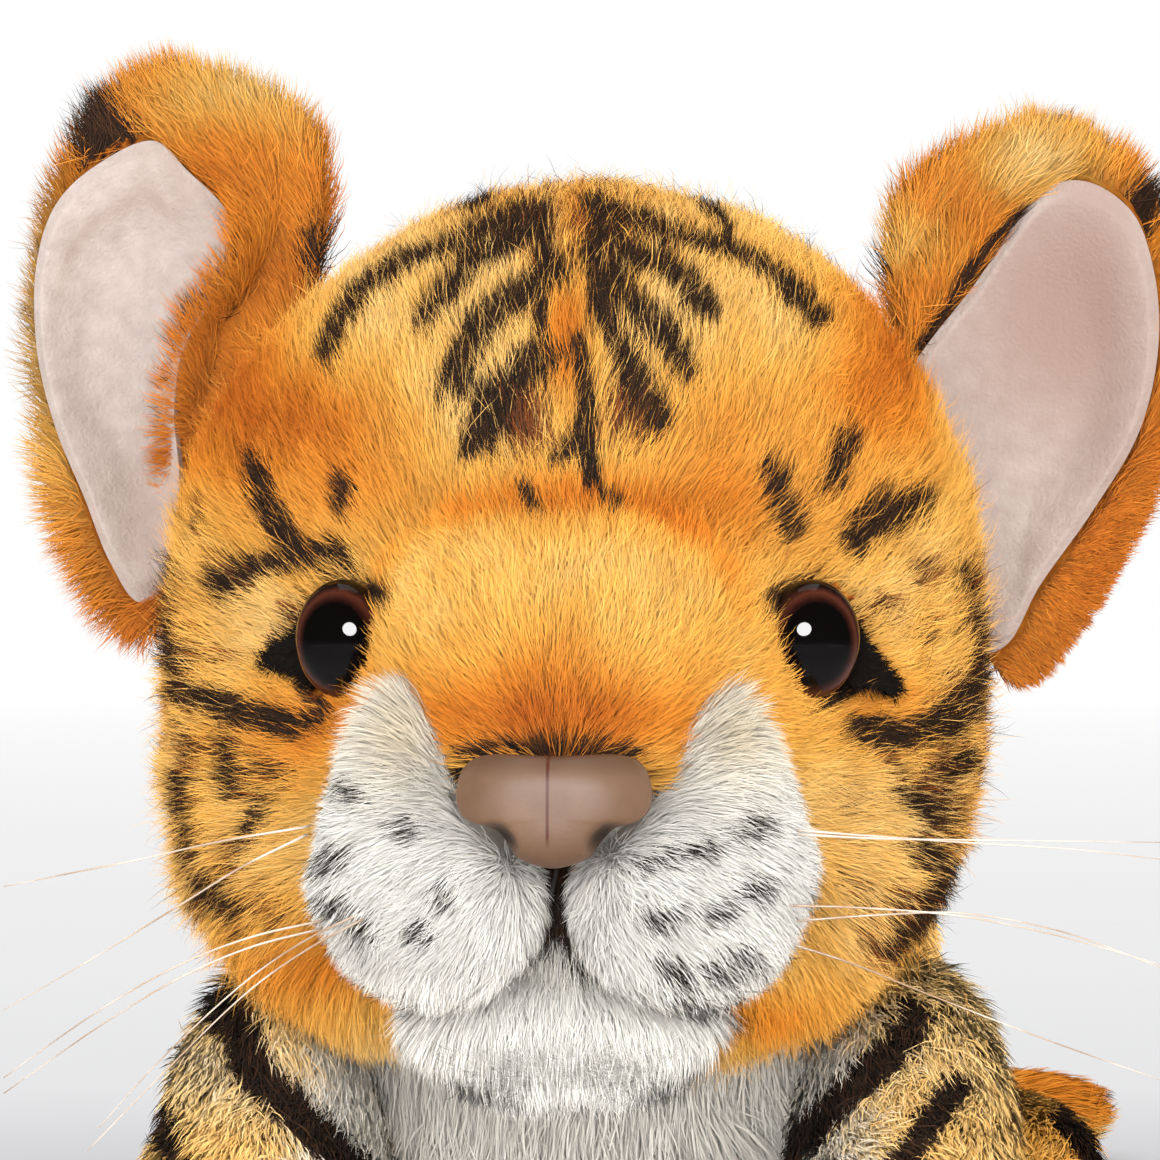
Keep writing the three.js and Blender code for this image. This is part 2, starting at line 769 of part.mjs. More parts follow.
// The front of the face, for what is sewn on it or grows from it
function frontOf(solids) {
  const meshes = solids.map((solid) => new THREE.Mesh(geometryOf(solid)));
  const ray = new THREE.Raycaster();
  return (x, z) => {
    ray.set(new THREE.Vector3(x, -overrun, z), new THREE.Vector3(0, 1, 0));
    const [first] = ray.intersectObjects(meshes);
    return first;
  };
}

// Mouth: one embroidered thread, down from the nose and along both lips
function mouthThread(front) {
  const top = nosePlace.z - noseHalfHeight - threadRadius;
  const middle = top - philtrumHeight;
  const clearance = 2 * threadRadius + gap;
  const seat = (x, z) => {
    const reach = [-1, 0, 1].flatMap((i) => [-1, 0, 1].map((j) => (
      front(x + i * clearance * 2, z + j * clearance).point.y
    )));
    return new THREE.Vector3(x, Math.min(...reach) - clearance, z);
  };
  const steps = 8;
  const shares = Array.from({ length: steps + 1 }, (_, i) => i / steps);
  const philtrum = shares.map((share) => seat(muzzleOffset, top - share * philtrumHeight));
  const lips = [-1, 1].map((side) => shares.map((share) => seat(
    muzzleOffset + side * share * mouthHalfWidth,
    middle - mouthSag * (1 - (1 - share) ** 2),
  )));
  return join([philtrum, ...lips].map((points) => solidOf(cord(points, threadRadius, 4, 8))));
}

// Whiskers: stiff hairs from the pads, with their fall and bow as shares of their reach
const whiskerShares = [
  { name: 'whisker_left_1', side: -1, out: 0.88, rise: 0.17, reach: 0.92, fall: 0.21, bow: 0.01 },
  { name: 'whisker_left_2', side: -1, out: 0.87, rise: 0.09, reach: 0.96, fall: 0.56, bow: 0.04 },
  { name: 'whisker_left_3', side: -1, out: 0.84, rise: -0.48, reach: 0.98, fall: 0.12, bow: 0.43 },
  { name: 'whisker_left_4', side: -1, out: 0.84, rise: -0.55, reach: 0.97, fall: 0.2, bow: 0.36 },
  { name: 'whisker_left_5', side: -1, out: 0.74, rise: -0.42, reach: 0.56, fall: 0.4, bow: 0.36 },
  { name: 'whisker_left_6', side: -1, out: 0.71, rise: -0.5, reach: 0.52, fall: 0.46, bow: 0.3 },
  { name: 'whisker_right_1', side: 1, out: 0.86, rise: 0.15, reach: 1.06, fall: 0.04, bow: 0 },
  { name: 'whisker_right_2', side: 1, out: 0.86, rise: 0.1, reach: 1.02, fall: 0.02, bow: 0.05 },
  { name: 'whisker_right_3', side: 1, out: 0.84, rise: -0.34, reach: 1.04, fall: 0, bow: 0.19 },
  { name: 'whisker_right_4', side: 1, out: 0.85, rise: -0.43, reach: 0.98, fall: -0.08, bow: 0.25 },
  { name: 'whisker_right_5', side: 1, out: 0.84, rise: -0.6, reach: 1.08, fall: 0.37, bow: 0 },
];

function whisker(front, { side, out, rise, reach, fall, bow }) {
  const x = muzzleOffset + side * out * whiskerSpread;
  const z = headLift - padDrop + rise * padHalfHeight;
  const root = front(x, z);
  const start = root.point.clone().addScaledVector(root.face.normal, whiskerRadius + gap);
  const length = reach * whiskerReach;
  const shares = [0, 0.12, 0.3, 0.5, 0.75, 1];
  const points = shares.map((share) => new THREE.Vector3(
    start.x + side * share * length,
    start.y + share * share * whiskerSweep,
    start.z - length * (fall * share + bow * share * share),
  ));
  return solidOf(cord(points, whiskerRadius, 4, 6));
}

// Label: a blank folded tag sewn into the seam beside the tail
function sewnLabel() {
  const rump = new THREE.Mesh(geometryOf(torsoOuter));
  const ray = new THREE.Raycaster();
  const surface = [-1, 0, 1].flatMap((sideShare) => [-1, -0.5, 0, 0.5, 1].map((heightShare) => {
    const start = new THREE.Vector3(
      -labelOffset + sideShare * labelThickness,
      overrun,
      tailRootLift + heightShare * labelHeight / 2,
    );
    ray.set(start, new THREE.Vector3(0, -1, 0));
    const [first] = ray.intersectObject(rump);
    return first.point.y;
  }));
  const label = new THREE.BoxGeometry(labelThickness, labelLength, labelHeight);
  const seam = Math.max(...surface) + gap;
  return solidOf(label.translate(-labelOffset, seam + labelLength / 2, tailRootLift));
}

// Colours and surfaces
const looks = {
  gold: { color: 0xc98a3e, roughness: 0.95, metalness: 0 },
  white: { color: 0xe4e0d6, roughness: 0.95, metalness: 0 },
  velour: { color: 0xc3b0a5, roughness: 0.85, metalness: 0 },
  filling: { color: 0xf1f0ec, roughness: 1, metalness: 0 },
  black: { color: 0x1d1714, roughness: 0.9, metalness: 0 },
  eye: { color: 0x2a120a, roughness: 0.05, metalness: 0 },
  nose: { color: 0x9d8273, roughness: 0.45, metalness: 0 },
  washer: { color: 0xe8e8e4, roughness: 0.5, metalness: 0 },
  whisker: { color: 0xf0ece4, roughness: 0.3, metalness: 0 },
  label: { color: 0xf4f2ee, roughness: 0.8, metalness: 0 },
};

// Assembly
const torsoOuter = torsoSolid(0);
const torsoCleared = torsoSolid(-gap);
const forelegRooms = torsoFromForeleg();
const sides = [{ side: -1, word: 'left' }, { side: 1, word: 'right' }];
const eyeRooms = sides.flatMap(({ side }) => [
  eyeDome(side, gap),
  eyeShank(side, gap),
  eyeWasher(side, gap),
]);
const noseRooms = [noseBody(gap), noseShank(gap), noseWasher(gap)];
const earRooms = earPlaces.map(earRoomInHead);
const tailRoom = solidOf(ball(tailRootRadius + gap, tailRoot, 16, 12));

const headSkin = cut(headOuter, [headInner, headSocket, ...eyeRooms, ...noseRooms, ...earRooms]);
const headFilling = cut(headFillingForm, [headSocket, ...eyeRooms, ...noseRooms, ...earRooms]);
const torsoShell = cut(torsoOuter, [torsoSolid(plushThickness), neckOpening, tailRoom, floorBlock]);
const torsoFilling = cut(torsoSolid(plushThickness + fillingSlack), [tailRoom]);

function bibBlock(grown) {
  const block = new THREE.CylinderGeometry(1, 1, overrun, 28);
  block.scale(bibHalfWidth + grown, 1, bibHalfHeight + grown);
  return solidOf(block.translate(0, chestSetback - overrun / 2, chestCentre.z - bibDrop));
}

const pads = sides.map(({ side, word }) => ({ word, solid: muzzlePad(side, 0) }));
const chin = chinPad(0);
const faceFront = frontOf([headOuter, noseBody(0), chin, ...pads.map(({ solid }) => solid)]);
const tailPieces = tail();

const pieces = [
  ['torso_skin', torsoShell.subtract(bibBlock(gap)), looks.gold],
  ['chest_bib', torsoShell.intersect(bibBlock(0)), looks.white],
  ['torso_filling', torsoFilling, looks.filling],
  ['neck_gusset', neckGusset(), looks.gold],
  ['head_skin', headSkin, looks.gold],
  ['head_filling', headFilling, looks.filling],
  ...pads.map(({ word, solid }) => [`muzzle_pad_${word}`, solid, looks.white]),
  ['chin_pad', chin, looks.white],
  ['nose', nose(), looks.nose],
  ['nose_washer', noseWasher(0), looks.washer],
  ['mouth_thread', mouthThread(faceFront), looks.black],
  ['tail_skin', tailPieces.skin, looks.gold],
  ['tail_filling', tailPieces.filling, looks.filling],
  ['sewn_label', sewnLabel(), looks.label],
  ...whiskerShares.map((hair) => [hair.name, whisker(faceFront, hair), looks.whisker]),
];

for (const { side, word } of sides) {
  const foreleg = leg([forelegForm(side)], forelegRooms);
  const hindLeg = leg([thighForm(side), footForm(side)], [torsoCleared]);
  pieces.push(
    [`eye_${word}`, eyeDome(side, 0).add(eyeShank(side, 0)), looks.eye],
    [`eye_washer_${word}`, eyeWasher(side, 0), looks.washer],
    [`eye_corner_${word}`, eyeCorner(side), looks.black],
    [`foreleg_skin_${word}`, foreleg.skin, looks.gold],
    [`foreleg_filling_${word}`, foreleg.filling, looks.filling],
    [`hind_leg_skin_${word}`, hindLeg.skin, looks.gold],
    [`hind_leg_filling_${word}`, hindLeg.filling, looks.filling],
  );
}

const tiger = new THREE.Group();
for (const [name, solid, look] of pieces) {
  const mesh = new THREE.Mesh(geometryOf(solid), new THREE.MeshStandardMaterial(look));
  mesh.name = name;
  tiger.add(mesh);
}
for (const { side, word, lean, drop, liningShares } of earPlaces) {
  const { back, lining } = earPieces(lean, drop, liningShares);
  const parts = [[`ear_back_${word}`, back, looks.gold], [`ear_lining_${word}`, lining, looks.velour]];
  for (const [name, solid, look] of parts) {
    const geometry = geometryOf(solid);
    if (side < 0) mirrored(geometry);
    geometry.computeVertexNormals();
    const mesh = new THREE.Mesh(geometry, new THREE.MeshStandardMaterial(look));
    mesh.name = name;
    tiger.add(mesh);
  }
}

// The origin is under the middle of the whole toy, on the floor
const extent = new THREE.Box3().setFromObject(tiger);
const middle = extent.getCenter(new THREE.Vector3());
tiger.position.set(-middle.x, -middle.y, -extent.min.z);

export default tiger;
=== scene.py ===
import math

import bpy
import numpy as np
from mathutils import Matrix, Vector
from mathutils.bvhtree import BVHTree
from mathutils.kdtree import KDTree


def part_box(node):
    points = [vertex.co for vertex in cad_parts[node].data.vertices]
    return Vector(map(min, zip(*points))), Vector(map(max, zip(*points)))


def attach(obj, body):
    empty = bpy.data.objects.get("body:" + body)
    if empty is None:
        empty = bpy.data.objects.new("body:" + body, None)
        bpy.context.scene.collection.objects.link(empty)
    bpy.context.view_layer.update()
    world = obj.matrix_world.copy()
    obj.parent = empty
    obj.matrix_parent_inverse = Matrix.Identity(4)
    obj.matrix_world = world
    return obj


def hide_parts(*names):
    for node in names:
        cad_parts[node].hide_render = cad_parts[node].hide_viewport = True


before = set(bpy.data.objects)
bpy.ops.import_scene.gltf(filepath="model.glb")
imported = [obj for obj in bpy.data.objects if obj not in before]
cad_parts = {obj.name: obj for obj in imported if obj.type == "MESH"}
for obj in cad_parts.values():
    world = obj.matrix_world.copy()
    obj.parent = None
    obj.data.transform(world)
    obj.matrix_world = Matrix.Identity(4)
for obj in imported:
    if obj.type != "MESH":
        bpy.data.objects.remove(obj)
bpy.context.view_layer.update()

# Sizes of the CAD, in its own millimetres: the chest is on the middle plane, the face looks along -Y
MM = 0.001
SKIN_DEPTH, THIN_SKIN_DEPTH, PAD_SKIN_DEPTH, CHIN_SKIN_DEPTH = 4.6, 4.2, 2.8, 2.5
CHEST_RADIUS, CHEST_BACK, FLOOR_CUT = 56.0, 36.0, 0.5
CHEST = np.array([0.0, CHEST_BACK, CHEST_RADIUS - FLOOR_CUT])
TORSO_LENGTH, TORSO_HALF_WIDTH, TORSO_HALF_HEIGHT = 190.0, 58.0, 53.0
# How blunt the ends and edges of the stuffed forms are
TORSO_FULLNESS, THIGH_FULLNESS, LIMB_FULLNESS, TAIL_FULLNESS = 2.6, 2.1, 3, 5
NOSE_FULLNESS, PAD_FULLNESS, CHIN_FULLNESS, EAR_FULLNESS, LINING_FULLNESS = 0.7, 0.7, 0.85, 0.6, 0.75
HEAD_HALF = np.array([64.0, 55.0, 67.0])
HEAD = np.array([0.0, 0.0, 117.0])
HEAD_SWELLS = [
    (26.0, 0.0, -0.37, 0.5, 0.43),
    (11.0, 0.0, -0.88, 0.5, 0.28),
    (5.0, 1.1, -0.55, 0.55, 0.4),
    (5.0, -1.1, -0.55, 0.55, 0.4),
    (-3.0, 0.66, -0.05, 0.24, 0.22),
    (-3.0, -0.66, -0.05, 0.24, 0.22),
]
EYE_TURN, EYE_RISE, EYE_FACING = 0.657, -0.084, 0.25
EYE_HALF = (7.4, 9.0)
EYE_BULGE, EYE_RIM = 5.6, 1.6
CORNER_HALF = (7.0, 5.6)
CORNER_TUCK, CORNER_DROP = 2.0, 2.0
CORNER_TILTS = {-1: math.radians(5), 1: math.radians(28)}
MUZZLE_OFFSET = -1.5
NOSE = np.array([MUZZLE_OFFSET, -79.0, 87.5])
NOSE_HALF = (14.2, 8.2)
NOSE_BULGE, NOSE_BACK = 8.0, 5.0
PAD_HALF = (19.5, 22.0)
PAD_BULGE, PAD_BACK, PAD_SPREAD, PAD_TURN = 11.0, 12.0, 18.5, 0.5
PAD_PLACE = np.array([MUZZLE_OFFSET, -67.0, 81.0])
CHIN_HALF = (22.0, 10.5)
CHIN_BULGE = 12.0
CHIN_PLACE = np.array([MUZZLE_OFFSET, -52.0, 56.5])
EAR_ROOT_SPREAD, EAR_REACH, EAR_SETBACK, EAR_FOOT, EAR_HEIGHT = 40.0, 51.0, 5.0, 111.0, 92.0
EAR_THICKNESS, EAR_DISH, LINING_HALF = 8.0, 7.0, 1.3
RIGHT_EAR_LEAN, RIGHT_EAR_DROP = math.radians(8), 8.0
FORELEG_LENGTH, FORELEG_SPREAD, FORELEG_HALF_WIDTH, FORELEG_HALF_HEIGHT = 158.0, 51.0, 21.0, 18.0
SHOULDER_HALF_HEIGHT, ELBOW_BACK = 32.0, 6.0
HIND_SPREAD, HIND_HALF_WIDTH, HIND_HALF_LENGTH, HIND_HALF_HEIGHT, HIND_BACK = 42.0, 27.0, 45.0, 27.5, 184.0
FOOT_SPREAD, FOOT_LENGTH, FOOT_HALF_WIDTH, FOOT_HALF_HEIGHT = 71.0, 92.0, 17.0, 16.0
TAIL_RADIUS, TAIL_REACH, TAIL_SWEEP, TAIL_ROOT_RADIUS = 12.0, 84.0, 92.0, 14.5
TAIL_ROOT = np.array([0.0, 223.0, 34.0])

bib_low, bib_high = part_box("chest_bib")
SHIFT = np.array([(bib_low[0] + bib_high[0]) / 2 / MM, bib_low[1] / MM - (CHEST_BACK - CHEST_RADIUS), 0.0])

# The photograph's view: a point of its 1160 x 1160 frame against a place on the toy
FRAME_PIXELS = 1160
CAMERA_REACH, EYE_PLANE, FRAME_WIDTH = 900.0, -48.0, 174.0
CAMERA_TURN = math.radians(3)
MIDDLE_X, MIDDLE_Y, AIM_HEIGHT = 576.0, 580.0, 121.0
PIXEL = FRAME_WIDTH / FRAME_PIXELS


def pixel_size(depth):
    return PIXEL * (CAMERA_REACH + depth) / CAMERA_REACH


def to_pixels(p):
    depth = p[:, 1] - EYE_PLANE
    scale = pixel_size(depth)
    px = MIDDLE_X + (p[:, 0] + depth * math.tan(CAMERA_TURN)) / scale
    return px, MIDDLE_Y + (AIM_HEIGHT - p[:, 2]) / scale


def from_pixels(px, py, y):
    depth = y - EYE_PLANE
    scale = pixel_size(depth)
    x = (px - MIDDLE_X) * scale - depth * math.tan(CAMERA_TURN)
    return np.array([x, y, AIM_HEIGHT - (py - MIDDLE_Y) * scale])


def to_row(p):
    return (np.asarray(p, float) + SHIFT) * MM


# Numbers and fields
def unit(v):
    return v / np.maximum(np.linalg.norm(v, axis=-1, keepdims=True), 1e-9)


def ease(x, low, high):
    t = np.clip((x - low) / (high - low), 0, 1)
    return t * t * (3 - 2 * t)


def cell_value(i, seed):
    n = (i[..., 0] * 73856093) ^ (i[..., 1] * 19349663) ^ (i[..., 2] * 83492791) ^ (seed * 2654435761)
    n = n & 0xFFFFFFFF
    n = ((n >> 16) ^ n) * 0x45D9F3B & 0xFFFFFFFF
    n = ((n >> 16) ^ n) * 0x45D9F3B & 0xFFFFFFFF
    return ((n >> 16) ^ n) / 2147483648.0 - 1


def noise(p, size, seed=0):
    q = p / size
    i = np.floor(q).astype(np.int64)
    f = q - i
    f = f * f * (3 - 2 * f)
    total = np.zeros(len(p))
    for dx in (0, 1):
        for dy in (0, 1):
            for dz in (0, 1):
                weight = (np.where(dx, f[:, 0], 1 - f[:, 0]) * np.where(dy, f[:, 1], 1 - f[:, 1])
                          * np.where(dz, f[:, 2], 1 - f[:, 2]))
                total += weight * cell_value(i + np.array([dx, dy, dz]), seed)
    return total


def drift(p, size, seed):
    return np.stack([noise(p, size, seed + k) for k in range(3)], axis=1)


def blob(px, py, x, y, across, down):
    return np.exp(-((px - x) / across) ** 2 - ((py - y) / down) ** 2)


def spots(px, py, table):
    """The sum of soft spots: how much of each, its middle, and its reach across and down, in pixels."""
    return sum(much * blob(px, py, *where) for much, *where in table)


def oval(px, py, x, y, across, down):
    """How far places lie from the middle of an oval: 1 is its edge."""
    return np.hypot((px - x) / across, (py - y) / down)


def line_cover(px, py, lines):
    """How deep each point lies in drawn lines: 1 on the middle of a line, 0 at its edge, less outside."""
    cover = np.full(len(px), -9.0)
    for half_width, points in lines:
        for (x0, y0), (x1, y1) in zip(points[:-1], points[1:]):
            dx, dy = x1 - x0, y1 - y0
            t = np.clip(((px - x0) * dx + (py - y0) * dy) / (dx * dx + dy * dy), 0, 1)
            away = np.hypot(px - x0 - t * dx, py - y0 - t * dy)
            cover = np.maximum(cover, 1 - away / half_width)
    return cover


# Forms: rings of points between two poles
def closed_form(rings, first, last):
    count, sides = rings.shape[:2]
    points = np.vstack([first[None], rings.reshape(-1, 3), last[None]])
    faces = [(0, 1 + (k + 1) % sides, 1 + k) for k in range(sides)]
    for r in range(count - 1):
        a, b = 1 + r * sides, 1 + (r + 1) * sides
        faces += [(a + k, a + (k + 1) % sides, b + (k + 1) % sides, b + k) for k in range(sides)]
    end, base = len(points) - 1, 1 + (count - 1) * sides
    faces += [(base + k, base + (k + 1) % sides, end) for k in range(sides)]
    return outward(points, faces)


def triangles(faces):
    out = []
    for f in faces:
        out.append(f[:3])
        if len(f) == 4:
            out.append((f[0], f[2], f[3]))
    return np.array(out)


def outward(points, faces):
    t = triangles(faces)
    a, b, c = (points[t[:, k]] for k in range(3))
    if np.einsum("ij,ij->i", a, np.cross(b, c)).sum() < 0:
        faces = [tuple(reversed(f)) for f in faces]
    return points, faces


def normals_of(points, tris):
    a, b, c = (points[tris[:, k]] for k in range(3))
    flat = np.cross(b - a, c - a)
    total = np.zeros_like(points)
    for k in range(3):
        np.add.at(total, tris[:, k], flat)
    return unit(total)


def catmull(points, t, closed=False):
    points = np.asarray(points, float)
    count = len(points)
    place = (count - (0 if closed else 1)) * t
    i = int(math.floor(place))
    w = place - i
    if not closed and i >= count - 1:
        i, w = count - 2, 1.0
    p1 = points[i % count]
    p2 = points[(i + 1) % count]
    p0 = points[(i - 1) % count] if closed or i > 0 else 2 * points[0] - points[1]
    p3 = points[(i + 2) % count] if closed or i + 2 < count else 2 * points[-1] - points[-2]
    d0, d1, d2 = (max(float(np.dot(b - a, b - a)) ** 0.25, 0) for a, b in ((p0, p1), (p1, p2), (p2, p3)))
    d1 = d1 if d1 > 1e-4 else 1.0
    d0 = d0 if d0 > 1e-4 else d1
    d2 = d2 if d2 > 1e-4 else d1
    m1 = ((p1 - p0) / d0 - (p2 - p0) / (d0 + d1) + (p2 - p1) / d1) * d1
    m2 = ((p2 - p1) / d1 - (p3 - p1) / (d1 + d2) + (p3 - p2) / d2) * d1
    return p1 + m1 * w + (-3 * p1 + 3 * p2 - 2 * m1 - m2) * w ** 2 + (2 * p1 - 2 * p2 + m1 + m2) * w ** 3


def stuffed(spine, halves, fullness, inset, rings=56, sides=48):
    """A stuffed limb along a spine, with half its width and height at each of the spine's points."""
    sizes = [[w, h, 0] for w, h in halves]
    trail = np.array([catmull(spine, k / 60) for k in range(61)])
    length = np.linalg.norm(np.diff(trail, axis=0), axis=1).sum()
    end = inset / length
    angles = np.linspace(0, 2 * math.pi, sides, endpoint=False)
    rows = []
    for along in [0.0] + [(1 - math.cos(math.pi * (k + 1) / (rings + 1))) / 2 for k in range(rings)] + [1.0]:
        share = min(max(end + along * (1 - 2 * end), 0), 1)
        swell = (1 - abs(2 * along - 1) ** fullness) ** (1 / fullness)
        tangent = unit(catmull(spine, min(share + 1e-4, 1)) - catmull(spine, max(share - 1e-4, 0)))
        side = unit(np.cross(tangent, [0, 0, 1]))
        lift = np.cross(side, tangent)
        half = catmull(sizes, share)
        ring = np.outer(np.cos(angles) * (half[0] - inset), side)
        ring += np.outer(np.sin(angles) * (half[1] - inset), lift)
        rows.append(catmull(spine, share) + swell * ring)
    return closed_form(np.array(rows[1:-1]), rows[0][0], rows[-1][0])


def lobe(outline, front, back, fullness, inset, rings=40, sides=72):
    """A stuffed pad inside an outline: how far it swells forward and back, and how blunt its edge is."""
    edge = np.array([[x, 0, z] for x, z in outline])
    middle = edge.mean(axis=0)
    rims = []
    for k in range(sides):
        rim = catmull(edge, k / sides, True) - middle
        size = np.linalg.norm(rim)
        rims.append(rim * max(size - inset, 0.1) / size)
    rims = np.array(rims)

    def row(polar):
        radius, rise = math.sin(polar), math.cos(polar)
        place = middle + rims * radius ** fullness
        place[:, 1] = rise * ((front if rise < 0 else back) - inset)
        return place
    rows = np.array([row(math.pi * (k + 1) / (rings + 1)) for k in range(rings)])
    return closed_form(rows, row(0.0)[0], row(math.pi)[0])


def ball(radius, centre, rings=40, sides=56):
    polar = np.pi * (np.arange(rings) + 1) / (rings + 1)
    turn = np.linspace(0, 2 * np.pi, sides, endpoint=False)
    rows = np.stack([np.outer(np.sin(polar), np.cos(turn)), np.outer(np.sin(polar), np.sin(turn)),
                     np.outer(np.cos(polar), np.ones(sides))], axis=2)
    up = np.array([0, 0, 1.0])
    return closed_form(rows * radius + centre, centre + up * radius, centre - up * radius)


def swells(turn, rise, table):
    """Swellings of the head: how far out, the middle's turn and rise, and the reach in turn and rise."""
    return sum(reach * np.exp(-np.abs((turn - t0) / ts) ** 2.5 - np.abs((rise - r0) / rs) ** 2.5)
               for reach, t0, r0, ts, rs in table)


def turn_and_rise(d):
    return np.arctan2(d[..., 0], -d[..., 1]), np.arcsin(np.clip(d[..., 2], -1, 1))


def head_radius(d):
    return 1 / np.linalg.norm(d / HEAD_HALF, axis=-1) + swells(*turn_and_rise(d), HEAD_SWELLS)


def head_point(turn, rise, inset):
    d = np.array([math.sin(turn) * math.cos(rise), -math.cos(turn) * math.cos(rise), math.sin(rise)])
    return d * (head_radius(d) - inset) + HEAD


# Fuller parts of the stuffed head: the bridge of the nose, the jaw's sides and below the cheeks
PLUMP = [
    (4.2, 0.0, 0.0, 0.38, 0.16),
    (8.0, -1.2, -0.76, 0.5, 0.34),
    (5.0, 1.2, -0.76, 0.5, 0.34),
    (10.0, -0.62, -0.95, 0.42, 0.3),
    (10.0, 0.62, -0.95, 0.42, 0.3),
]


def head_form(inset, rings=120, sides=180):
    """The head's skin under its pile, with the fuller parts, and both cheeks a little to the left."""
    ways, faces = ball(1.0, np.zeros(3), rings, sides)
    ways = unit(ways)
    plump = swells(*turn_and_rise(ways), PLUMP)
    points = ways * (head_radius(ways) - inset + plump)[:, None] + HEAD
    points[:, 0] -= 2.6 * ease(np.abs(points[:, 0]), 30, 60)
    return points, faces


def outline_of(shares, half):
    return [(x * half[0], z * half[1]) for x, z in shares]


def rolled(points, angle):
    """Turns points about the axis that runs from front to back."""
    c, s = math.cos(angle), math.sin(angle)
    x, y, z = points.T
    return np.stack([x * c + z * s, y, z * c - x * s], axis=1)


def on_face(points, place, turn):
    c, s = math.cos(turn), math.sin(turn)
    return points @ np.array([[c, s, 0], [-s, c, 0], [0, 0, 1]]) + place


def tube(trail, radii, sides=8):
    ways = unit(np.gradient(trail, axis=0))
    flank = unit(np.cross(ways, [0, 1, 0]))
    rise = np.cross(flank, ways)
    angles = np.linspace(0, 2 * math.pi, sides, endpoint=False)
    rings = trail[:, None] + radii[:, None, None] * (
        np.cos(angles)[None, :, None] * flank[:, None] + np.sin(angles)[None, :, None] * rise[:, None])
    return closed_form(rings, trail[0], trail[-1])


def relaxed(points, faces, rounds):
    """Evens out a form: each place moves towards the middle of its neighbours."""
    ends = np.array([(f[k], f[(k + 1) % len(f)]) for f in faces for k in range(len(f))])
    share = np.bincount(ends[:, 0], minlength=len(points)) + np.bincount(ends[:, 1], minlength=len(points))
    for _ in range(rounds):
        total = np.zeros_like(points)
        np.add.at(total, ends[:, 0], points[ends[:, 1]])
        np.add.at(total, ends[:, 1], points[ends[:, 0]])
        points = points * 0.5 + 0.5 * total / share[:, None]
    return points


def mirrored(form):
    points, faces = form
    return outward(points * np.array([-1, 1, 1]), [tuple(reversed(f)) for f in faces])


# Blender objects and materials
def material(name):
    m = bpy.data.materials.new(name)
    m.use_nodes = True
    return m, m.node_tree, m.node_tree.nodes["Principled BSDF"]


def colour(r, g, b):
    def linear(c):
        c = c / 255
        return c / 12.92 if c <= 0.04045 else ((c + 0.055) / 1.055) ** 2.4
    return (linear(r), linear(g), linear(b), 1)


def feed(tree, node, inputs):
    """Feeds a node: an output is linked to an input, and a number or colour becomes its value."""
    for key, value in inputs.items():
        if isinstance(value, bpy.types.NodeSocket):
            tree.links.new(value, node.inputs[key])
        else:
            node.inputs[key].default_value = value


def add(tree, kind, inputs=None, **settings):
    node = tree.nodes.new("ShaderNode" + kind)
    for key, value in settings.items():
        setattr(node, key, value)
    feed(tree, node, inputs or {})
    return node


def layer_parts(tree, uv_name):
    """The two numbers that a UV layer holds."""
    uv = add(tree, "UVMap", uv_map=uv_name).outputs["UV"]
    return add(tree, "SeparateXYZ", {0: uv}).outputs[:2]


def grain(tree, scale, detail=2):
    place = add(tree, "TexCoord").outputs["Object"]
    return add(tree, "TexNoise", {"Vector": place, "Scale": scale, "Detail": detail}).outputs["Fac"]


def reckon(tree, operation, *values):
    return add(tree, "Math", dict(enumerate(values)), operation=operation).outputs["Value"]


def length_of(tree, vector):
    return add(tree, "VectorMath", {0: vector}, operation="LENGTH").outputs["Value"]


def stretch(tree, value, low, high, start, end):
    """Takes the range from low to high to the range from start to end."""
    inputs = {"Value": value, "From Min": low, "From Max": high, "To Min": start, "To Max": end}
    return add(tree, "MapRange", inputs).outputs["Result"]


def blend(tree, factor, a, b, way="MIX"):
    inputs = {"Factor": factor, "A": a, "B": b}
    return add(tree, "Mix", inputs, data_type="RGBA", blend_type=way).outputs["Result"]


def ramp(tree, factor, stops, tone=colour):
    """A scale of colours, as places with their red, green and blue."""
    node = add(tree, "ValToRGB", {"Fac": factor})
    elements = node.color_ramp.elements
    for element, (place, rgb) in zip(elements, (stops[0], stops[-1])):
        element.position = place
        element.color = tone(*rgb)
    for place, rgb in stops[1:-1]:
        elements.new(place).color = tone(*rgb)
    return node.outputs["Color"]


def roughen(tree, shader, height, strength, depth):
    bump = add(tree, "Bump", {"Height": height, "Strength": strength, "Distance": depth})
    feed(tree, shader, {"Normal": bump.outputs["Normal"]})


def grainy_material(name, scale, detail, stops, rough, relief=None):
    """A material of one grain, which colours it and, with a strength and a depth, also roughens it."""
    m, tree, shader = material(name)
    fine = grain(tree, scale, detail)
    feed(tree, shader, {"Base Color": ramp(tree, fine, stops), "Roughness": rough})
    if relief:
        roughen(tree, shader, fine, *relief)
    return m


def link_object(name, data):
    obj = bpy.data.objects.new(name, data)
    bpy.context.scene.collection.objects.link(obj)
    return obj


def object_from(name, points, faces, mat):
    mesh = bpy.data.meshes.new(name)
    mesh.from_pydata([tuple(p) for p in to_row(points)], [], [tuple(int(i) for i in f) for f in faces])
    mesh.polygons.foreach_set("use_smooth", [True] * len(mesh.polygons))
    mesh.materials.append(mat)
    return link_object(name, mesh)


def settle(obj, body, nodes=()):
    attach(obj, body)
    if nodes:
        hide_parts(*nodes)
    return obj


# The pile's colours, from white to black along one scale
COAT = [
    (0.0, (250, 248, 243)),
    (0.14, (240, 226, 200)),
    (0.28, (254, 212, 136)),
    (0.42, (250, 181, 80)),
    (0.56, (235, 140, 42)),
    (0.70, (193, 92, 20)),
    (0.84, (92, 58, 34)),
    (1.0, (30, 23, 16)),
]
DARKEST, LIGHTEST = 0.15, 1.2


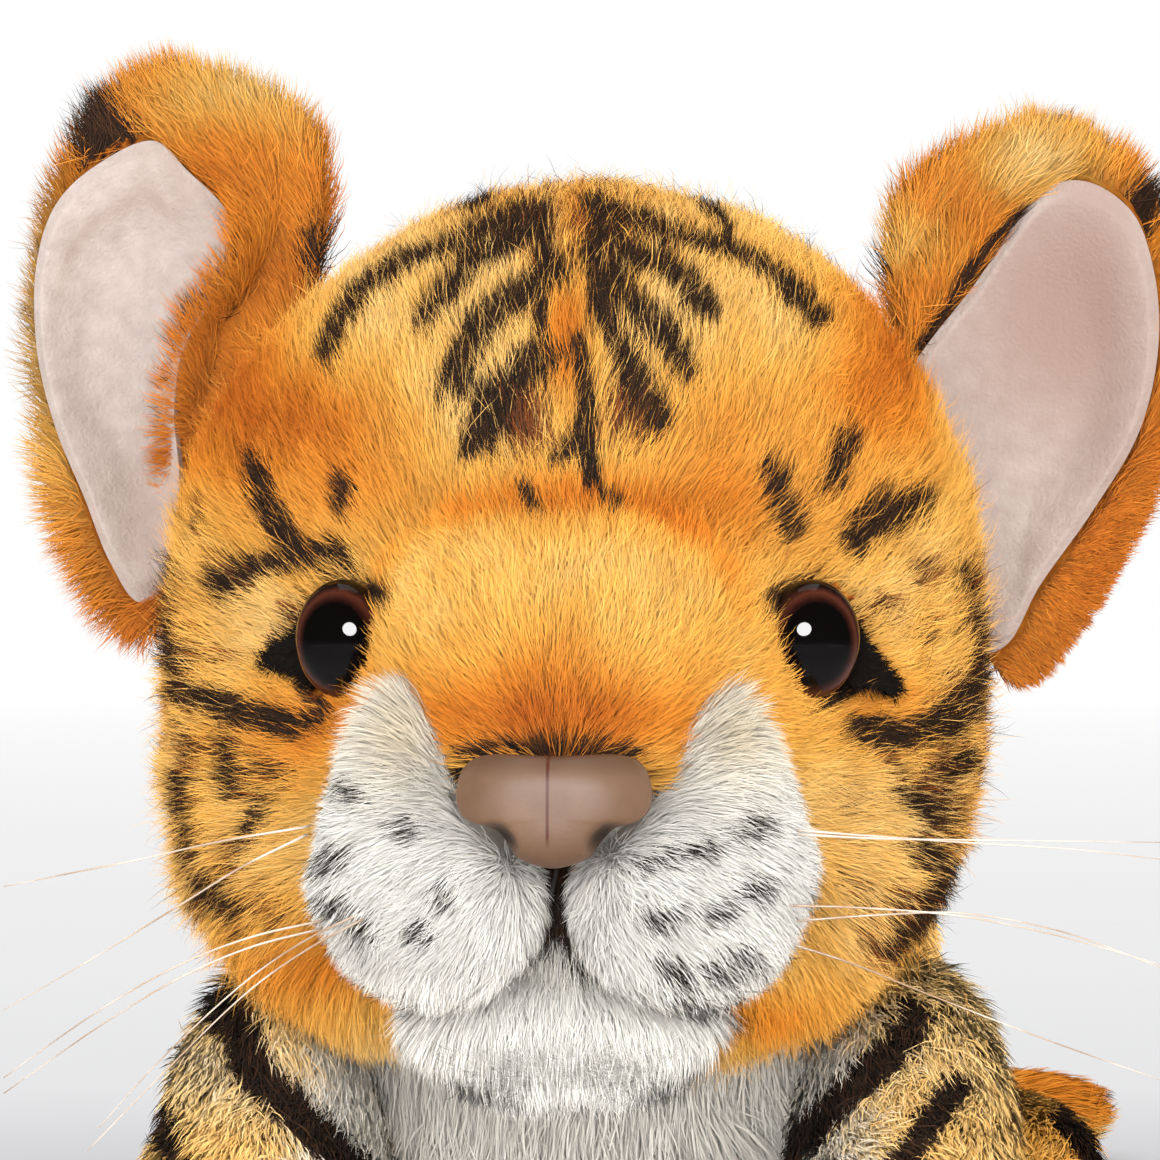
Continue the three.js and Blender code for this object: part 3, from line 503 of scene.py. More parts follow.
def coat_material(name, uv_name, backing):
    """The pile's or its backing's material, coloured by a UV layer's pigment and shade."""
    m, tree, shader = material(name)
    pigment, shade = layer_parts(tree, uv_name)
    base = ramp(tree, pigment, COAT)
    tone = blend(tree, 1, base, stretch(tree, shade, 0, 1, DARKEST, LIGHTEST), "MULTIPLY")
    feed(tree, shader, {"Base Color": tone, "Roughness": 0.95 if backing else 0.8, "Specular IOR Level": 0.1})
    if backing:
        fine = add(tree, "TexNoise", {"Scale": 1800}).outputs["Fac"]
        roughen(tree, shader, fine, 0.6, 0.0006)
    else:
        lie = add(tree, "Attribute", attribute_name="lie").outputs["Vector"]
        turn = add(tree, "VectorTransform", {"Vector": lie}, vector_type="NORMAL", convert_from="OBJECT",
                   convert_to="WORLD")
        feed(tree, shader, {"Normal": turn.outputs["Vector"]})
    return m


pile_material = coat_material("plush_pile", "OFBake", False)
backing_material = coat_material("plush_backing", "coat", True)


def lay_colours(obj, pigment, shade, uv_name="coat"):
    mesh = obj.data
    uv = mesh.uv_layers.new(name=uv_name)
    corner = np.empty(len(mesh.loops), np.int32)
    mesh.loops.foreach_get("vertex_index", corner)
    out = np.stack([pigment[corner], shade[corner]], axis=1)
    uv.data.foreach_set("uv", np.clip(out, 0.01, 0.99).astype(np.float32).ravel())


def scatter(points, tris, normals, weight, count, rng):
    a, b, c = (points[tris[:, k]] for k in range(3))
    area = np.linalg.norm(np.cross(b - a, c - a), axis=1) * weight[tris].min(axis=1)
    chosen = rng.choice(len(tris), count, p=area / area.sum())
    u, v = np.sqrt(rng.random(count)), rng.random(count)
    share = np.stack([1 - u, u * (1 - v), u * v], axis=1)
    where = tris[chosen]
    place = np.einsum("nk,nkj->nj", share, points[where])
    return place, unit(np.einsum("nk,nkj->nj", share, normals[where]))


# A strand: two points at each of three rows and one at the tip, joined by two quads and a triangle. Its rows
# are darker towards the root: painted shade under the pile
ROW_SHARES = (0.0, 0.4, 0.74, 1.0)
ROW_WIDTHS = (1.0, 0.95, 0.7)
ROW_SHADES = (0.86, 0.96, 1.0)
CORNERS = np.array([0, 1, 3, 2, 2, 3, 5, 4, 4, 5, 6])
CORNER_COUNTS = np.array([4, 4, 3])
STRAND_POINTS, STRAND_TRIANGLES, MOST_TRIANGLES = 7, 5, 196000
# How far a strand's shading leans towards the front, as light does that passes through a pile's edge
FRONT_LEAN = np.array([0.0, -0.5, 0.1])
# What a coat has unless it says otherwise. Its root is how light a strand's root is against its tip: painted
# shade under the pile
PLAIN_COAT = {
    "density": lambda p, n: 1.0, "gather": lambda p, n: 0.0, "swirl": 0.35, "tuft": 9, "wave": 0.35,
    "root": 0.55, "floor": -math.inf,
}
# How many strands each pile has, and the seed of its random numbers
STRANDS = {
    "head_pile": (270000, 101), "head_guard": (30000, 102), "chin_pile": (36000, 120),
    "muzzle_left_pile": (39000, 109), "muzzle_right_pile": (39000, 111), "torso_pile": (120000, 130),
    "foreleg_left_pile": (60000, 139), "foreleg_right_pile": (60000, 141),
    "hind_leg_left_pile": (38000, 149), "hind_leg_right_pile": (38000, 151), "tail_pile": (34000, 160),
    "ear_left_pile": (78000, 169), "ear_right_pile": (78000, 171),
    "eye_corner_left_nap": (3000, 189), "eye_corner_right_nap": (3000, 191),
}


def strand_spines(coat, root, normal, seed, rng):
    """Where each strand runs: it stands up, falls over along the comb and bunches with its tuft."""
    count = len(root)
    length = coat["length"](root) * rng.uniform(0.7, 1.12, count)
    way = unit(coat["comb"](root, normal)) + coat["stray"] * rng.normal(size=(count, 3))
    way += coat["swirl"] * drift(root, 9.0, seed + 11)
    way = unit(way - normal * np.einsum("ij,ij->i", way, normal)[:, None])
    stand = coat["stand"] * (1 + 0.25 * noise(root, 5.0, seed + 5)) * rng.uniform(0.8, 1.2, count)
    lie = np.sqrt(np.clip(1 - stand ** 2, 0.05, 1))
    centres = rng.choice(count, max(count // coat["tuft"], 1), replace=False)
    tree = KDTree(len(centres))
    for k, c in enumerate(centres):
        tree.insert(root[c], k)
    tree.balance()
    nearest = centres[np.array([tree.find(p)[1] for p in root])]
    wave = rng.normal(size=(count, 3)) * coat["wave"]
    spine = []
    for share in ROW_SHARES:
        up = stand * share - 0.32 * share ** 2
        out = lie * share + 0.22 * share ** 2
        here = root + length[:, None] * (normal * up[:, None] + way * out[:, None])
        pull = coat["pull"] * share ** 1.5
        spine.append(here + (here[nearest] - here) * pull + wave * share * (1.2 - share))
    spine = np.stack(spine, axis=1)
    spine[:, :, 2] = np.maximum(spine[:, :, 2], coat["floor"])
    return spine


def grow(name, body, form, coat, weight=1.0):
    """Strands of pile on a form: flat tapering ribbons in tufts, as real mesh."""
    count, seed = STRANDS[name]
    coat = {**PLAIN_COAT, **coat}
    rng = np.random.default_rng(seed)
    points, faces = form
    tris = triangles(faces)
    normals = normals_of(points, tris)
    weight = np.ones(len(points)) * weight * coat["density"](points, normals)
    root, normal = scatter(points, tris, normals, weight, count, rng)
    spine = strand_spines(coat, root, normal, seed, rng)
    along = unit(spine[:, -1] - spine[:, 0])
    flat = unit(np.cross(along, normal))
    twist = rng.normal(size=count) * 0.6
    across = flat * np.cos(twist)[:, None] + np.cross(along, flat) * np.sin(twist)[:, None]
    seen = spine[:, -1] * 0.6 + root * 0.4
    pigment, shade = coat["colour"](seen, normal, rng)
    half = coat["width"] / 2 * rng.uniform(0.75, 1.25, count)
    # The shade along each strand, with painted shade towards the root
    tone = shade[:, None] * np.array([coat["root"], *ROW_SHADES])
    verts = np.empty((count, STRAND_POINTS, 3))
    dye = np.empty((count, STRAND_POINTS, 2))
    for k, width in enumerate(ROW_WIDTHS):
        for point, way in ((2 * k, -1), (2 * k + 1, 1)):
            verts[:, point] = spine[:, k] + way * across * (half * width)[:, None]
            dye[:, point] = np.stack([pigment + way * 0.004, tone[:, k]], axis=1)
    verts[:, -1] = spine[:, -1]
    dye[:, -1] = np.stack([pigment, tone[:, -1]], axis=1)
    dye = np.clip(dye, 0.006, 0.994)
    own = unit(np.cross(along, across))
    own *= np.sign(np.einsum("ij,ij->i", own, normal))[:, None]
    toward = (1 - ease(normal[:, 1], 0.3, 0.8))[:, None] * FRONT_LEAN + coat["gather"](root, normal)
    lie = unit(normal + 0.2 * own + toward)
    most = MOST_TRIANGLES // STRAND_TRIANGLES
    for part, start in enumerate(range(0, count, most)):
        span = slice(start, start + most)
        settle(ribbons(f"{name}_{part + 1}", verts[span], dye[span], lie[span]), body)


def ribbons(name, verts, dye, lie):
    count = len(verts)
    mesh = bpy.data.meshes.new(name)
    mesh.vertices.add(count * STRAND_POINTS)
    mesh.vertices.foreach_set("co", to_row(verts.reshape(-1, 3)).astype(np.float32).ravel())
    loops = (np.arange(count)[:, None] * STRAND_POINTS + CORNERS).ravel()
    mesh.loops.add(len(loops))
    mesh.loops.foreach_set("vertex_index", loops.astype(np.int32))
    totals = np.tile(CORNER_COUNTS, count)
    starts = np.concatenate([[0], np.cumsum(totals)[:-1]])
    mesh.polygons.add(len(totals))
    mesh.polygons.foreach_set("loop_start", starts.astype(np.int32))
    mesh.polygons.foreach_set("loop_total", totals.astype(np.int32))
    mesh.update()
    uv = mesh.uv_layers.new(name="OFBake")
    uv.data.foreach_set("uv", dye.reshape(-1, 2)[loops].astype(np.float32).ravel())
    layer = mesh.attributes.new("lie", "FLOAT_VECTOR", "POINT")
    layer.data.foreach_set("vector", np.repeat(lie, STRAND_POINTS, axis=0).astype(np.float32).ravel())
    mesh.materials.append(pile_material)
    mesh.validate()
    return link_object(name, mesh)


# The face's drawing, in the photograph's pixels: half a width, then the line's points
FOREHEAD = [
    (12, [(328, 362), (340, 330), (366, 293), (410, 265), (450, 254), (489, 234), (519, 219)]),
    (13, [(421, 326), (444, 298), (478, 271), (512, 250), (540, 220)]),
    (16, [(456, 392), (467, 350), (495, 321), (528, 295), (556, 277)]),
    (19, [(482, 440), (494, 408), (519, 383), (546, 362)]),
    (11, [(467, 458), (482, 440)]),
    (10, [(579, 352), (587, 394), (584, 434), (592, 484)]),
    (9, [(556, 462), (572, 440), (584, 434)]),
    (15, [(604, 322), (624, 366), (646, 406), (656, 424)]),
    (16, [(592, 262), (624, 305), (657, 333), (682, 374)]),
    (14, [(612, 246), (646, 271), (680, 284), (706, 318)]),
    (12, [(590, 213), (635, 230), (691, 249), (742, 262), (781, 288), (815, 324)]),
    (9, [(704, 212), (726, 238)]),
    (9, [(467, 212), (489, 205)]),
    (7, [(526, 492), (534, 506)]),
    (7, [(606, 500), (618, 508)]),
    (9, [(541, 222), (546, 268), (540, 330)]),
    (10, [(600, 214), (592, 262), (600, 322)]),
]
BROWS = [
    (15, [(262, 473), (270, 507), (290, 540)]),
    (14, [(220, 588), (248, 565), (298, 555), (338, 552)]),
    (10, [(344, 484), (346, 508)]),
    (12, [(768, 468), (779, 507), (790, 526)]),
    (14, [(840, 440), (832, 482)]),
    (18, [(850, 536), (878, 514), (908, 508)]),
    (13, [(186, 694), (241, 712), (294, 727), (322, 716)]),
    (11, [(166, 560), (160, 620), (182, 668)]),
    (12, [(232, 752), (238, 790)]),
    (9, [(262, 800), (252, 838)]),
    (10, [(186, 780), (196, 850)]),
    (15, [(860, 728), (900, 736), (938, 722), (962, 700)]),
    (10, [(958, 580), (972, 636)]),
    (11, [(962, 700), (975, 660)]),
    (17, [(918, 850), (940, 880), (920, 915)]),
    (12, [(900, 796), (930, 812)]),
    (10, [(880, 940), (912, 920)]),
    (9, [(940, 770), (962, 760)]),
    (9, [(210, 880), (240, 905)]),
]
EAR_EDGE = [(9, [(898, 366), (938, 314), (982, 252), (1022, 208)])]
# The edge of the bridge's mound, where a darker tint is painted shade of its fold
MOUND = [
    (20, [(376, 600), (388, 566), (412, 540), (452, 518), (516, 500), (590, 498), (650, 514), (700, 546),
          (728, 580), (738, 612)]),
]
DARK_EYE = [
    (9, [(302, 606), (294, 640), (304, 690), (326, 706)]),
    (9, [(852, 604), (860, 640), (850, 690), (822, 704)]),
    (13, [(300, 604), (345, 584), (384, 596)]),
    (13, [(770, 602), (812, 582), (850, 604)]),
]
MOUTH_SIDES = [
    (9, [(476, 762), (450, 776), (444, 800)]),
    (9, [(628, 762), (652, 776), (660, 796)]),
]
# Dark strands along the mouth's creases and under the nose's top edge: partly dark fur, partly painted shadow
# in the creases
MOUTH_CREASE = [
    (10, [(548, 936), (509, 956), (465, 974), (421, 993)]),
    (10, [(552, 938), (580, 962), (618, 988), (680, 1006), (735, 1008)]),
    (10, [(462, 752), (500, 744), (550, 742), (602, 744), (642, 752)]),
]
PAD_SPOTS = [
    (13, [(744, 830), (756, 824)]), (11, [(692, 852), (712, 848)]), (10, [(648, 866), (664, 860)]),
    (12, [(748, 892), (762, 886)]), (11, [(708, 914), (722, 910)]), (12, [(652, 922), (676, 914)]),
    (13, [(712, 972), (745, 958)]), (11, [(664, 962), (684, 978)]), (10, [(676, 1000), (700, 1002)]),
    (10, [(352, 790), (360, 800)]), (10, [(400, 826), (410, 834)]), (11, [(322, 866), (338, 856)]),
    (11, [(330, 902), (344, 908)]), (11, [(362, 924), (370, 936)]), (9, [(440, 892), (450, 900)]),
    (9, [(416, 930), (428, 938)]),
]
SHOULDER = [
    (20, [(232, 1010), (255, 1080), (300, 1122), (352, 1175)]),
    (18, [(912, 1020), (900, 1045), (860, 1084), (800, 1144), (770, 1170)]),
    (15, [(952, 1088), (900, 1165)]),
    (9, [(204, 966), (224, 1036)]),
    (13, [(160, 1110), (176, 1170)]),
    (12, [(1060, 1118), (1096, 1168)]),
]


# Soft spots of the head's colour, in pixels: how much, the middle, and the reach across and down
RUST = [
    (0.27, 215, 370, 70, 120), (0.27, 880, 380, 60, 115), (0.15, 370, 500, 95, 65), (0.16, 730, 510, 90, 70),
    (0.17, 320, 420, 90, 55), (0.10, 745, 420, 70, 50), (0.14, 550, 505, 130, 30), (0.26, 545, 722, 190, 40),
    (0.12, 545, 670, 150, 50), (0.26, 566, 346, 24, 46), (0.12, 579, 225, 16, 50), (0.22, 350, 965, 90, 34),
    (0.18, 740, 1005, 90, 30), (0.12, 300, 720, 60, 50), (0.12, 880, 700, 60, 50),
]
CHEEKS = [(1, 195, 780, 95, 230), (1, 945, 800, 85, 230)]
BROWN_SPOTS = [(522, 420, 40, 42), (632, 412, 38, 40)]
BROWN_CROWN = (560, 228, 120, 50)
# Painted light and shade of the head: lighter on the bridge of the nose, painted shade in the fold above the
# bridge's mound, and darker on the left of the forehead
HEAD_LIGHT = [(0.08, 550, 590, 150, 60), (-0.12, 550, 508, 150, 22), (-0.10, 290, 420, 90, 60)]
CHIN_SPOT = (545, 1035, 160, 72)
PAD_WARMTH = [(0.13, 395, 735, 50, 60), (0.13, 738, 735, 50, 60)]
HAUNCH = (1100, 1110, 100, 110)
MOUTH_X, CHIN_X, SEAM_X = 551, 548, 555


def pick(cover, rng, low=-0.28, high=0.32):
    return cover > rng.uniform(low, high, len(cover))


def facing(normal):
    toward = np.array([math.sin(CAMERA_TURN), -math.cos(CAMERA_TURN), 0])
    return normal @ toward


def dyed(black, tint, rng):
    """The pigment of strands that are black or tinted, each a little uneven."""
    return np.where(black, 1.0 - 0.1 * rng.random(len(black)) ** 2, tint + 0.03 * rng.normal(size=len(black)))


def kept_in(pigment, shade):
    return np.clip(pigment, 0, 1), np.clip(shade, 0.15, 1)


def face_marks(p, n, px, py, cheek, rng):
    """The black and the brown marks of the face."""
    count = len(p)
    ragged = 0.28 * noise(p, 3.2, 8) + 0.2 * noise(p, 1.4, 18)
    black = pick(line_cover(px, py, FOREHEAD) + 0.04 + ragged, rng) & (rng.random(count) > 0.04)
    black |= pick(line_cover(px, py, BROWS) + 0.08 + 1.4 * ragged, rng) & (rng.random(count) > 0.06)
    brown = np.maximum(*(blob(px, py, *spot) for spot in BROWN_SPOTS)) > rng.uniform(0.3, 1, count)
    brown |= blob(px, py, *BROWN_CROWN) > rng.uniform(0.2, 1.6, count)
    fleck = 0.5 * noise(p, 6.5, 21) + 0.55 * noise(p, 2.8, 22)
    black |= (fleck > 0.52 - 0.30 * cheek) & (cheek > 0.22) & (rng.random(count) < 0.6)
    brown |= (fleck > 0.28 - 0.30 * cheek) & (cheek > 0.22) & (rng.random(count) < 0.5)
    black |= pick(line_cover(px, py, DARK_EYE), rng, -0.2, 0.6)
    black |= pick(line_cover(px, py, MOUTH_SIDES), rng, -0.2, 0.8)
    return black, brown


def crown_bands(p, rng):
    """Bands behind the face, which the photograph doesn't show."""
    crown = np.arctan2(p[:, 1] + 10, p[:, 2] - 70)
    bow = 62 * crown + 0.12 * np.abs(p[:, 0]) + 7 * noise(p, 24, 31)
    band = np.sin(2 * np.pi * bow / 24) + 0.35 * noise(p, 7, 32) > 0.38
    return band & (rng.random(len(p)) > 0.1) & (p[:, 2] > 62 + 8 * noise(p, 12, 33))


def head_colour(p, n, rng):
    px, py = to_pixels(p)
    count = len(p)
    cheek = np.clip(spots(px, py, CHEEKS), 0, 1)
    front = ease(facing(n), -0.05, 0.2)
    # The mound's edge gets a darker rust tint, as painted shade of its fold, and a raised shade value
    fold_shade = np.clip(line_cover(px, py, MOUND) + 0.5 * noise(p, 5, 12), 0, 1) * (facing(n) > 0)
    tint = 0.38 + 0.05 * noise(p, 16, 3) + 0.035 * noise(p, 6, 4)
    tint += spots(px, py, RUST) - 0.05 * ease(py, 1000, 1060) + 0.11 * fold_shade
    black, brown = face_marks(p, n, px, py, cheek, rng)
    band = crown_bands(p, rng)
    behind = rng.random(count) > front
    black = np.where(behind, band, black)
    tint = np.where(behind, 0.42 + 0.06 * noise(p, 16, 3), tint)
    off = np.abs(px - MOUTH_X)
    chin_white = ((blob(px, py, *CHIN_SPOT) > 0.42) | ((np.abs(px - CHIN_X) < 78) & (py > 948))) & ~behind
    throat = behind & (p[:, 2] < 68) & (np.abs(p[:, 0]) < 26)
    # The seam between the pads and the mouth's creases get dark strands: partly dark fur, partly painted shadow
    # in the gaps
    seam = (np.abs(px - SEAM_X) < 28) & (py > 852) & (py < 948) & ~behind
    wing = (off > 28) & (off < 140) & (py > 806) & (py < 930) & ~behind
    tint = np.where(wing, 0.05, tint)
    seam |= pick(line_cover(px, py, MOUTH_CREASE), rng, 0.0, 0.9) & ~behind
    tint = np.where(chin_white | throat, 0.04, tint)
    dark = (black & ~chin_white) | seam
    dark &= rng.random(count) > 0.04 * ~seam
    pigment = np.where(brown & ~dark & ~behind & ~chin_white, 0.76 + 0.12 * rng.random(count), tint)
    pigment += 0.02 * rng.normal(size=count)
    pigment = np.where(dark, 1.0 - 0.1 * rng.random(count) ** 2, pigment)
    shade = 0.80 + 0.05 * rng.normal(size=count) + 0.07 * noise(p, 8, 9) + 0.11 * noise(p, 2.6, 10)
    shade -= 0.05 * cheek * (front > 0.3) - 0.11 * fold_shade
    # Painted light below the pads, where the jaw turns down into shade, then the head's painted light and shade
    shade += 0.14 * ease(py, 940, 1010) + spots(px, py, HEAD_LIGHT)
    return kept_in(pigment, shade)


def white_colour(p, n, rng):
    px, py = to_pixels(p)
    count = len(p)
    marks = line_cover(px, py, PAD_SPOTS)
    grey = pick(marks + 0.25 * noise(p, 2.2, 42), rng, -0.6, 1.5) & (facing(n) > 0)
    white = 0.01 + spots(px, py, PAD_WARMTH) + 0.02 * np.abs(rng.normal(size=count))
    shade = 0.69 + 0.03 * rng.normal(size=count) + 0.05 * noise(p, 7, 41) + 0.10 * noise(p, 2.4, 43)
    # Painted light on the chin below the pads, which faces down into shade
    shade += 0.30 * ease(py, 960, 1000)
    return kept_in(np.where(grey, 1.0, white), np.where(grey, 0.7 + 0.25 * rng.random(count), shade))


def banded(p, rng, phase, period, bound, seed):
    """Black bands across a body or limb, broken and uneven."""
    count = len(p)
    wave = np.sin(2 * np.pi * (phase + 4.5 * noise(p, 26, seed)) / period) + 0.4 * noise(p, 9, seed + 1)
    return (wave > bound + 0.12 * rng.normal(size=count)) & (rng.random(count) > 0.08)


def shoulder_lines(p, px, py, rng):
    """The stripes that the photograph shows on the shoulders and the haunch."""
    drawn = line_cover(px, py, SHOULDER)
    return pick(drawn + 0.3 * noise(p, 4, 54) * (drawn > 0), rng)


def torso_colour(p, n, rng):
    px, py = to_pixels(p)
    count = len(p)
    x, y, z = p.T
    tint = 0.42 + 0.06 * noise(p, 20, 51) + 0.03 * noise(p, 7, 52)
    low = ease(-z, -34, -16)
    tint = tint * (1 - low) + 0.12 * low
    end = np.maximum(0, y - (CHEST_BACK + 0.78 * TORSO_LENGTH))
    round_rump = 0.9 * np.maximum(0, 50 - np.hypot(x, z - 50)) * ease(end, 0, 25)
    black = banded(p, rng, y + round_rump + 0.22 * np.abs(x) + 0.15 * z, 25, 0.35 + 1.2 * low, 53)
    shown = (facing(n) > -0.4) & (y < 60)
    # The front of the shoulders lies in the head's shade: its paler tint and higher shade are painted light,
    # and its stripes are the drawn ones
    tint = np.where(shown, tint - 0.11, tint)
    black = np.where(shown, shoulder_lines(p, px, py, rng), black)
    bib = ((x / 41) ** 2 + ((z - 45) / 32) ** 2 < 1 + 0.06 * noise(p, 8, 55)) & (y < 20)
    under = (z < 14) & (np.abs(x) < 34)
    pigment = dyed(black, tint, rng)
    pigment = np.where(bib | under, 0.03 + 0.03 * rng.random(count), pigment)
    shade = 0.88 + 0.12 * shown + 0.07 * rng.normal(size=count) + 0.05 * noise(p, 9, 56)
    return kept_in(pigment, shade)


def leg_colour(side, seed):
    def rule(p, n, rng):
        px, py = to_pixels(p)
        x, y, z = p.T
        pale = np.maximum(ease(-side * n[:, 0], 0.25, 0.8), ease(-z, -12, -4))
        tint = 0.32 + 0.06 * noise(p, 18, seed) - 0.20 * pale
        bound = 0.5 + 1.5 * pale + 0.5 * ease(-y, 78, 100)
        rise = np.maximum(0, 27 - np.abs(z - 24)) * ease(np.abs(n[:, 1]), 0.4, 0.9)
        black = banded(p, rng, y + 0.3 * z + np.sign(n[:, 1]) * rise, 23, bound, seed + 1)
        haunch = (blob(px, py, *HAUNCH) > 0.3) & (y > 90)
        # The tops of the forelegs lie in the head's shade: a paler tint and a higher shade there are painted
        # light
        shaded = ease(z, 34, 46) * (y < 60)
        tint = np.where(haunch, tint + 0.12, tint) - 0.06 * shaded
        shown = ((facing(n) > -0.4) & (y < 90) & (z > 22)) | haunch
        black = np.where(shown, shoulder_lines(p, px, py, rng), black)
        pigment = dyed(black, tint, rng)
        shade = 0.96 + 0.1 * shaded + 0.06 * rng.normal(size=len(p)) + 0.05 * noise(p, 9, seed + 2)
        return kept_in(pigment, shade)
    return rule


def tail_colour(p, n, rng):
    count = len(p)
    gap = np.linalg.norm(p[:, None] - TAIL_TRAIL[None], axis=2)
    along = np.argmin(gap, axis=1) / (len(TAIL_TRAIL) - 1)
    wave = np.sin(2 * np.pi * (along * 7 + 0.12 * noise(p, 12, 71))) + 0.25 * noise(p, 6, 72)
    black = (wave > 0.25) & (along < 0.86) & (rng.random(count) > 0.07) & (n[:, 2] > -0.75)
    tint = 0.44 + 0.1 * ease(along, 0.84, 0.9) + 0.06 * noise(p, 16, 73) - 0.22 * ease(-n[:, 2], 0.2, 0.8)
    return kept_in(dyed(black, tint, rng), 0.88 + 0.07 * rng.normal(size=count))


def tail_comb(p, n):
    gap = np.linalg.norm(p[:, None] - TAIL_TRAIL[None], axis=2)
    step = np.minimum(np.argmin(gap, axis=1), len(TAIL_TRAIL) - 2)
    return TAIL_TRAIL[step + 1] - TAIL_TRAIL[step]


def tree_of(form):
    points, faces = form
    return BVHTree.FromPolygons([Vector(p) for p in points], [list(map(int, f)) for f in faces])


def is_inside(points, forms):
    out = np.zeros(len(points), bool)
    for tree in map(tree_of, forms):
        for k in np.flatnonzero(~out):
            place = Vector(points[k])
            near, normal, _, _ = tree.find_nearest(place)
            out[k] = (place - near).dot(normal) < 0
    return out


def outside(form, forms):
    """1 where a form's points are outside other forms, and 0 where those hide them."""
    return np.where(is_inside(form[0], forms), 0.0, 1.0)


def joined(name, forms, voxel):
    """One smooth skin round several forms, as a voxel remesh."""
    points, faces, base = [], [], 0
    for form_points, form_faces in forms:
        points.append(form_points)
        faces += [tuple(i + base for i in f) for f in form_faces]
        base += len(form_points)
    obj = object_from(name, np.vstack(points), faces, backing_material)
    remesh = obj.modifiers.new("remesh", "REMESH")
    remesh.mode = "VOXEL"
    remesh.voxel_size = voxel * MM
    smooth = obj.modifiers.new("smooth", "SMOOTH")
    smooth.factor = 0.5
    smooth.iterations = 12
    baked = bpy.data.meshes.new_from_object(obj.evaluated_get(bpy.context.evaluated_depsgraph_get()))
    obj.modifiers.clear()
    obj.data = baked
    baked.name = name
    baked.materials.clear()
    baked.materials.append(backing_material)
    baked.polygons.foreach_set("use_smooth", [True] * len(baked.polygons))
    flat = np.empty(len(baked.vertices) * 3)
    baked.vertices.foreach_get("co", flat)
    return obj, (flat.reshape(-1, 3) / MM - SHIFT, [tuple(p.vertices) for p in baked.polygons])


# The fabric has the pile's colours, but darker. Then the remeshes' voxels
# The fabric under the pile is darkened by this share: painted shade under the pile
FABRIC_PAINTED_SHADE = 0.62
TORSO_VOXEL, HIND_VOXEL, TAIL_VOXEL = 2.2, 1.6, 1.2


def paint(obj, form, colour_rule, seed):
    points, faces = form
    normals = normals_of(points, triangles(faces))
    pigment, shade = colour_rule(points, normals, np.random.default_rng(seed))
    lay_colours(obj, pigment, shade * FABRIC_PAINTED_SHADE)


def skin(name, body, nodes, form, colour_rule, seed):
    obj = object_from(name, *form, backing_material)
    paint(obj, form, colour_rule, seed)
    settle(obj, body, nodes)


def joined_skin(name, body, nodes, forms, voxel, colour_rule, seed):
    obj, form = joined(name, forms, voxel)
    paint(obj, form, colour_rule, seed)
    settle(obj, body, nodes)
    return form


# Head: the eyes and the nose leave the pile open, and it is short round them
EYE_OPENINGS = [(340, 646, 40, 57), (812, 642, 40, 57)]
EYE_MIDDLES = [(343, 644), (810, 640)]
NOSE_OPENING = (552, 818, 96, 54)
BRIDGE_TRIM = [(-4.6, 545, 712, 170, 80), (-3.0, 550, 490, 200, 34)]


def head_comb(p, n):
    away = unit(p - (NOSE + np.array([0, 6, 4])))
    away[:, 2] += 0.55 * ease(p[:, 2], 96, 140) * ease(-p[:, 1], -30, 20)
    away[:, 2] -= 0.9 * ease(p[:, 1], 0, 40)
    away[:, 2] -= 1.1 * ease(-p[:, 2], -88, -60)
    return away


def head_length(p):
    px, py = to_pixels(p)
    x, y, z = p.T
    length = 9.5 + 2.5 * ease(y, -20, 20) + spots(px, py, BRIDGE_TRIM) * (y < -30)
    length += 2.5 * ease(np.abs(x), 42, 60)
    length += 6.0 * ease(-z, -84, -64) * ease(-y, -20, 15)
    near = np.minimum(*(np.hypot(px - ex, (py - ey) * 0.8) for ex, ey in EYE_MIDDLES))
    outer = ease(np.abs(px - MIDDLE_X), 215, 245)
    return length * (1 - (0.12 + 0.4 * outer) * (1 - ease(near, 58, 120)) * (y < -15))


def head_density(p, n):
    px, py = to_pixels(p)
    open_eye = np.minimum(*(oval(px, py, *opening) for opening in EYE_OPENINGS)) < 1
    bare = (open_eye | (oval(px, py, *NOSE_OPENING) < 1)) & (p[:, 1] < -10)
    fine = 1 + 2.2 * ease(facing(n), -0.1, 0.3)
    socket = np.linalg.norm(p - CHEST, axis=1) > CHEST_RADIUS + 3
    return ~bare * fine * socket


HEAD_COAT = {
    "colour": head_colour, "comb": head_comb, "length": head_length, "density": head_density,
    "width": 0.13, "stand": 0.7, "stray": 0.28, "tuft": 20, "pull": 0.34, "wave": 0.4, "swirl": 0.4,
}
head_skin_form = head_form(SKIN_DEPTH)
skin("head_fabric", "head", ["head_skin"], head_skin_form, head_colour, seed=1)
GUARD_COAT = {
    **HEAD_COAT, "length": lambda p: 2.0 + head_length(p), "width": 0.07, "stand": 0.8, "stray": 0.45,
    "pull": 0.15, "wave": 0.8,
}
grow("head_pile", "head", head_skin_form, HEAD_COAT)
grow("head_guard", "head", head_skin_form, GUARD_COAT)

# Muzzle pads and chin: their outlines as shares of half their sizes
PAD_SHARES = [
    (1, -0.2), (0.9, 0.25), (0.62, 0.75), (0.3, 1.06), (0.08, 0.95), (-0.3, 0.5), (-0.75, 0.1), (-0.93, -0.25),
    (-0.88, -0.62), (-0.5, -0.92), (0.05, -1), (0.62, -0.8),
]
CHIN_SHARES = [
    (1, 0), (0.8, 0.55), (0.35, 0.9), (0, 1), (-0.35, 0.9), (-0.8, 0.55), (-1, 0), (-0.72, -0.7), (-0.3, -0.98),
    (0, -1.02), (0.3, -0.98), (0.72, -0.7),
]
# The nose leaves the pads' pile open, and it gets longer away from the middle
PAD_OPENING, PAD_LONG = (552, 808, 90, 52), (552, 850, 250, 150)


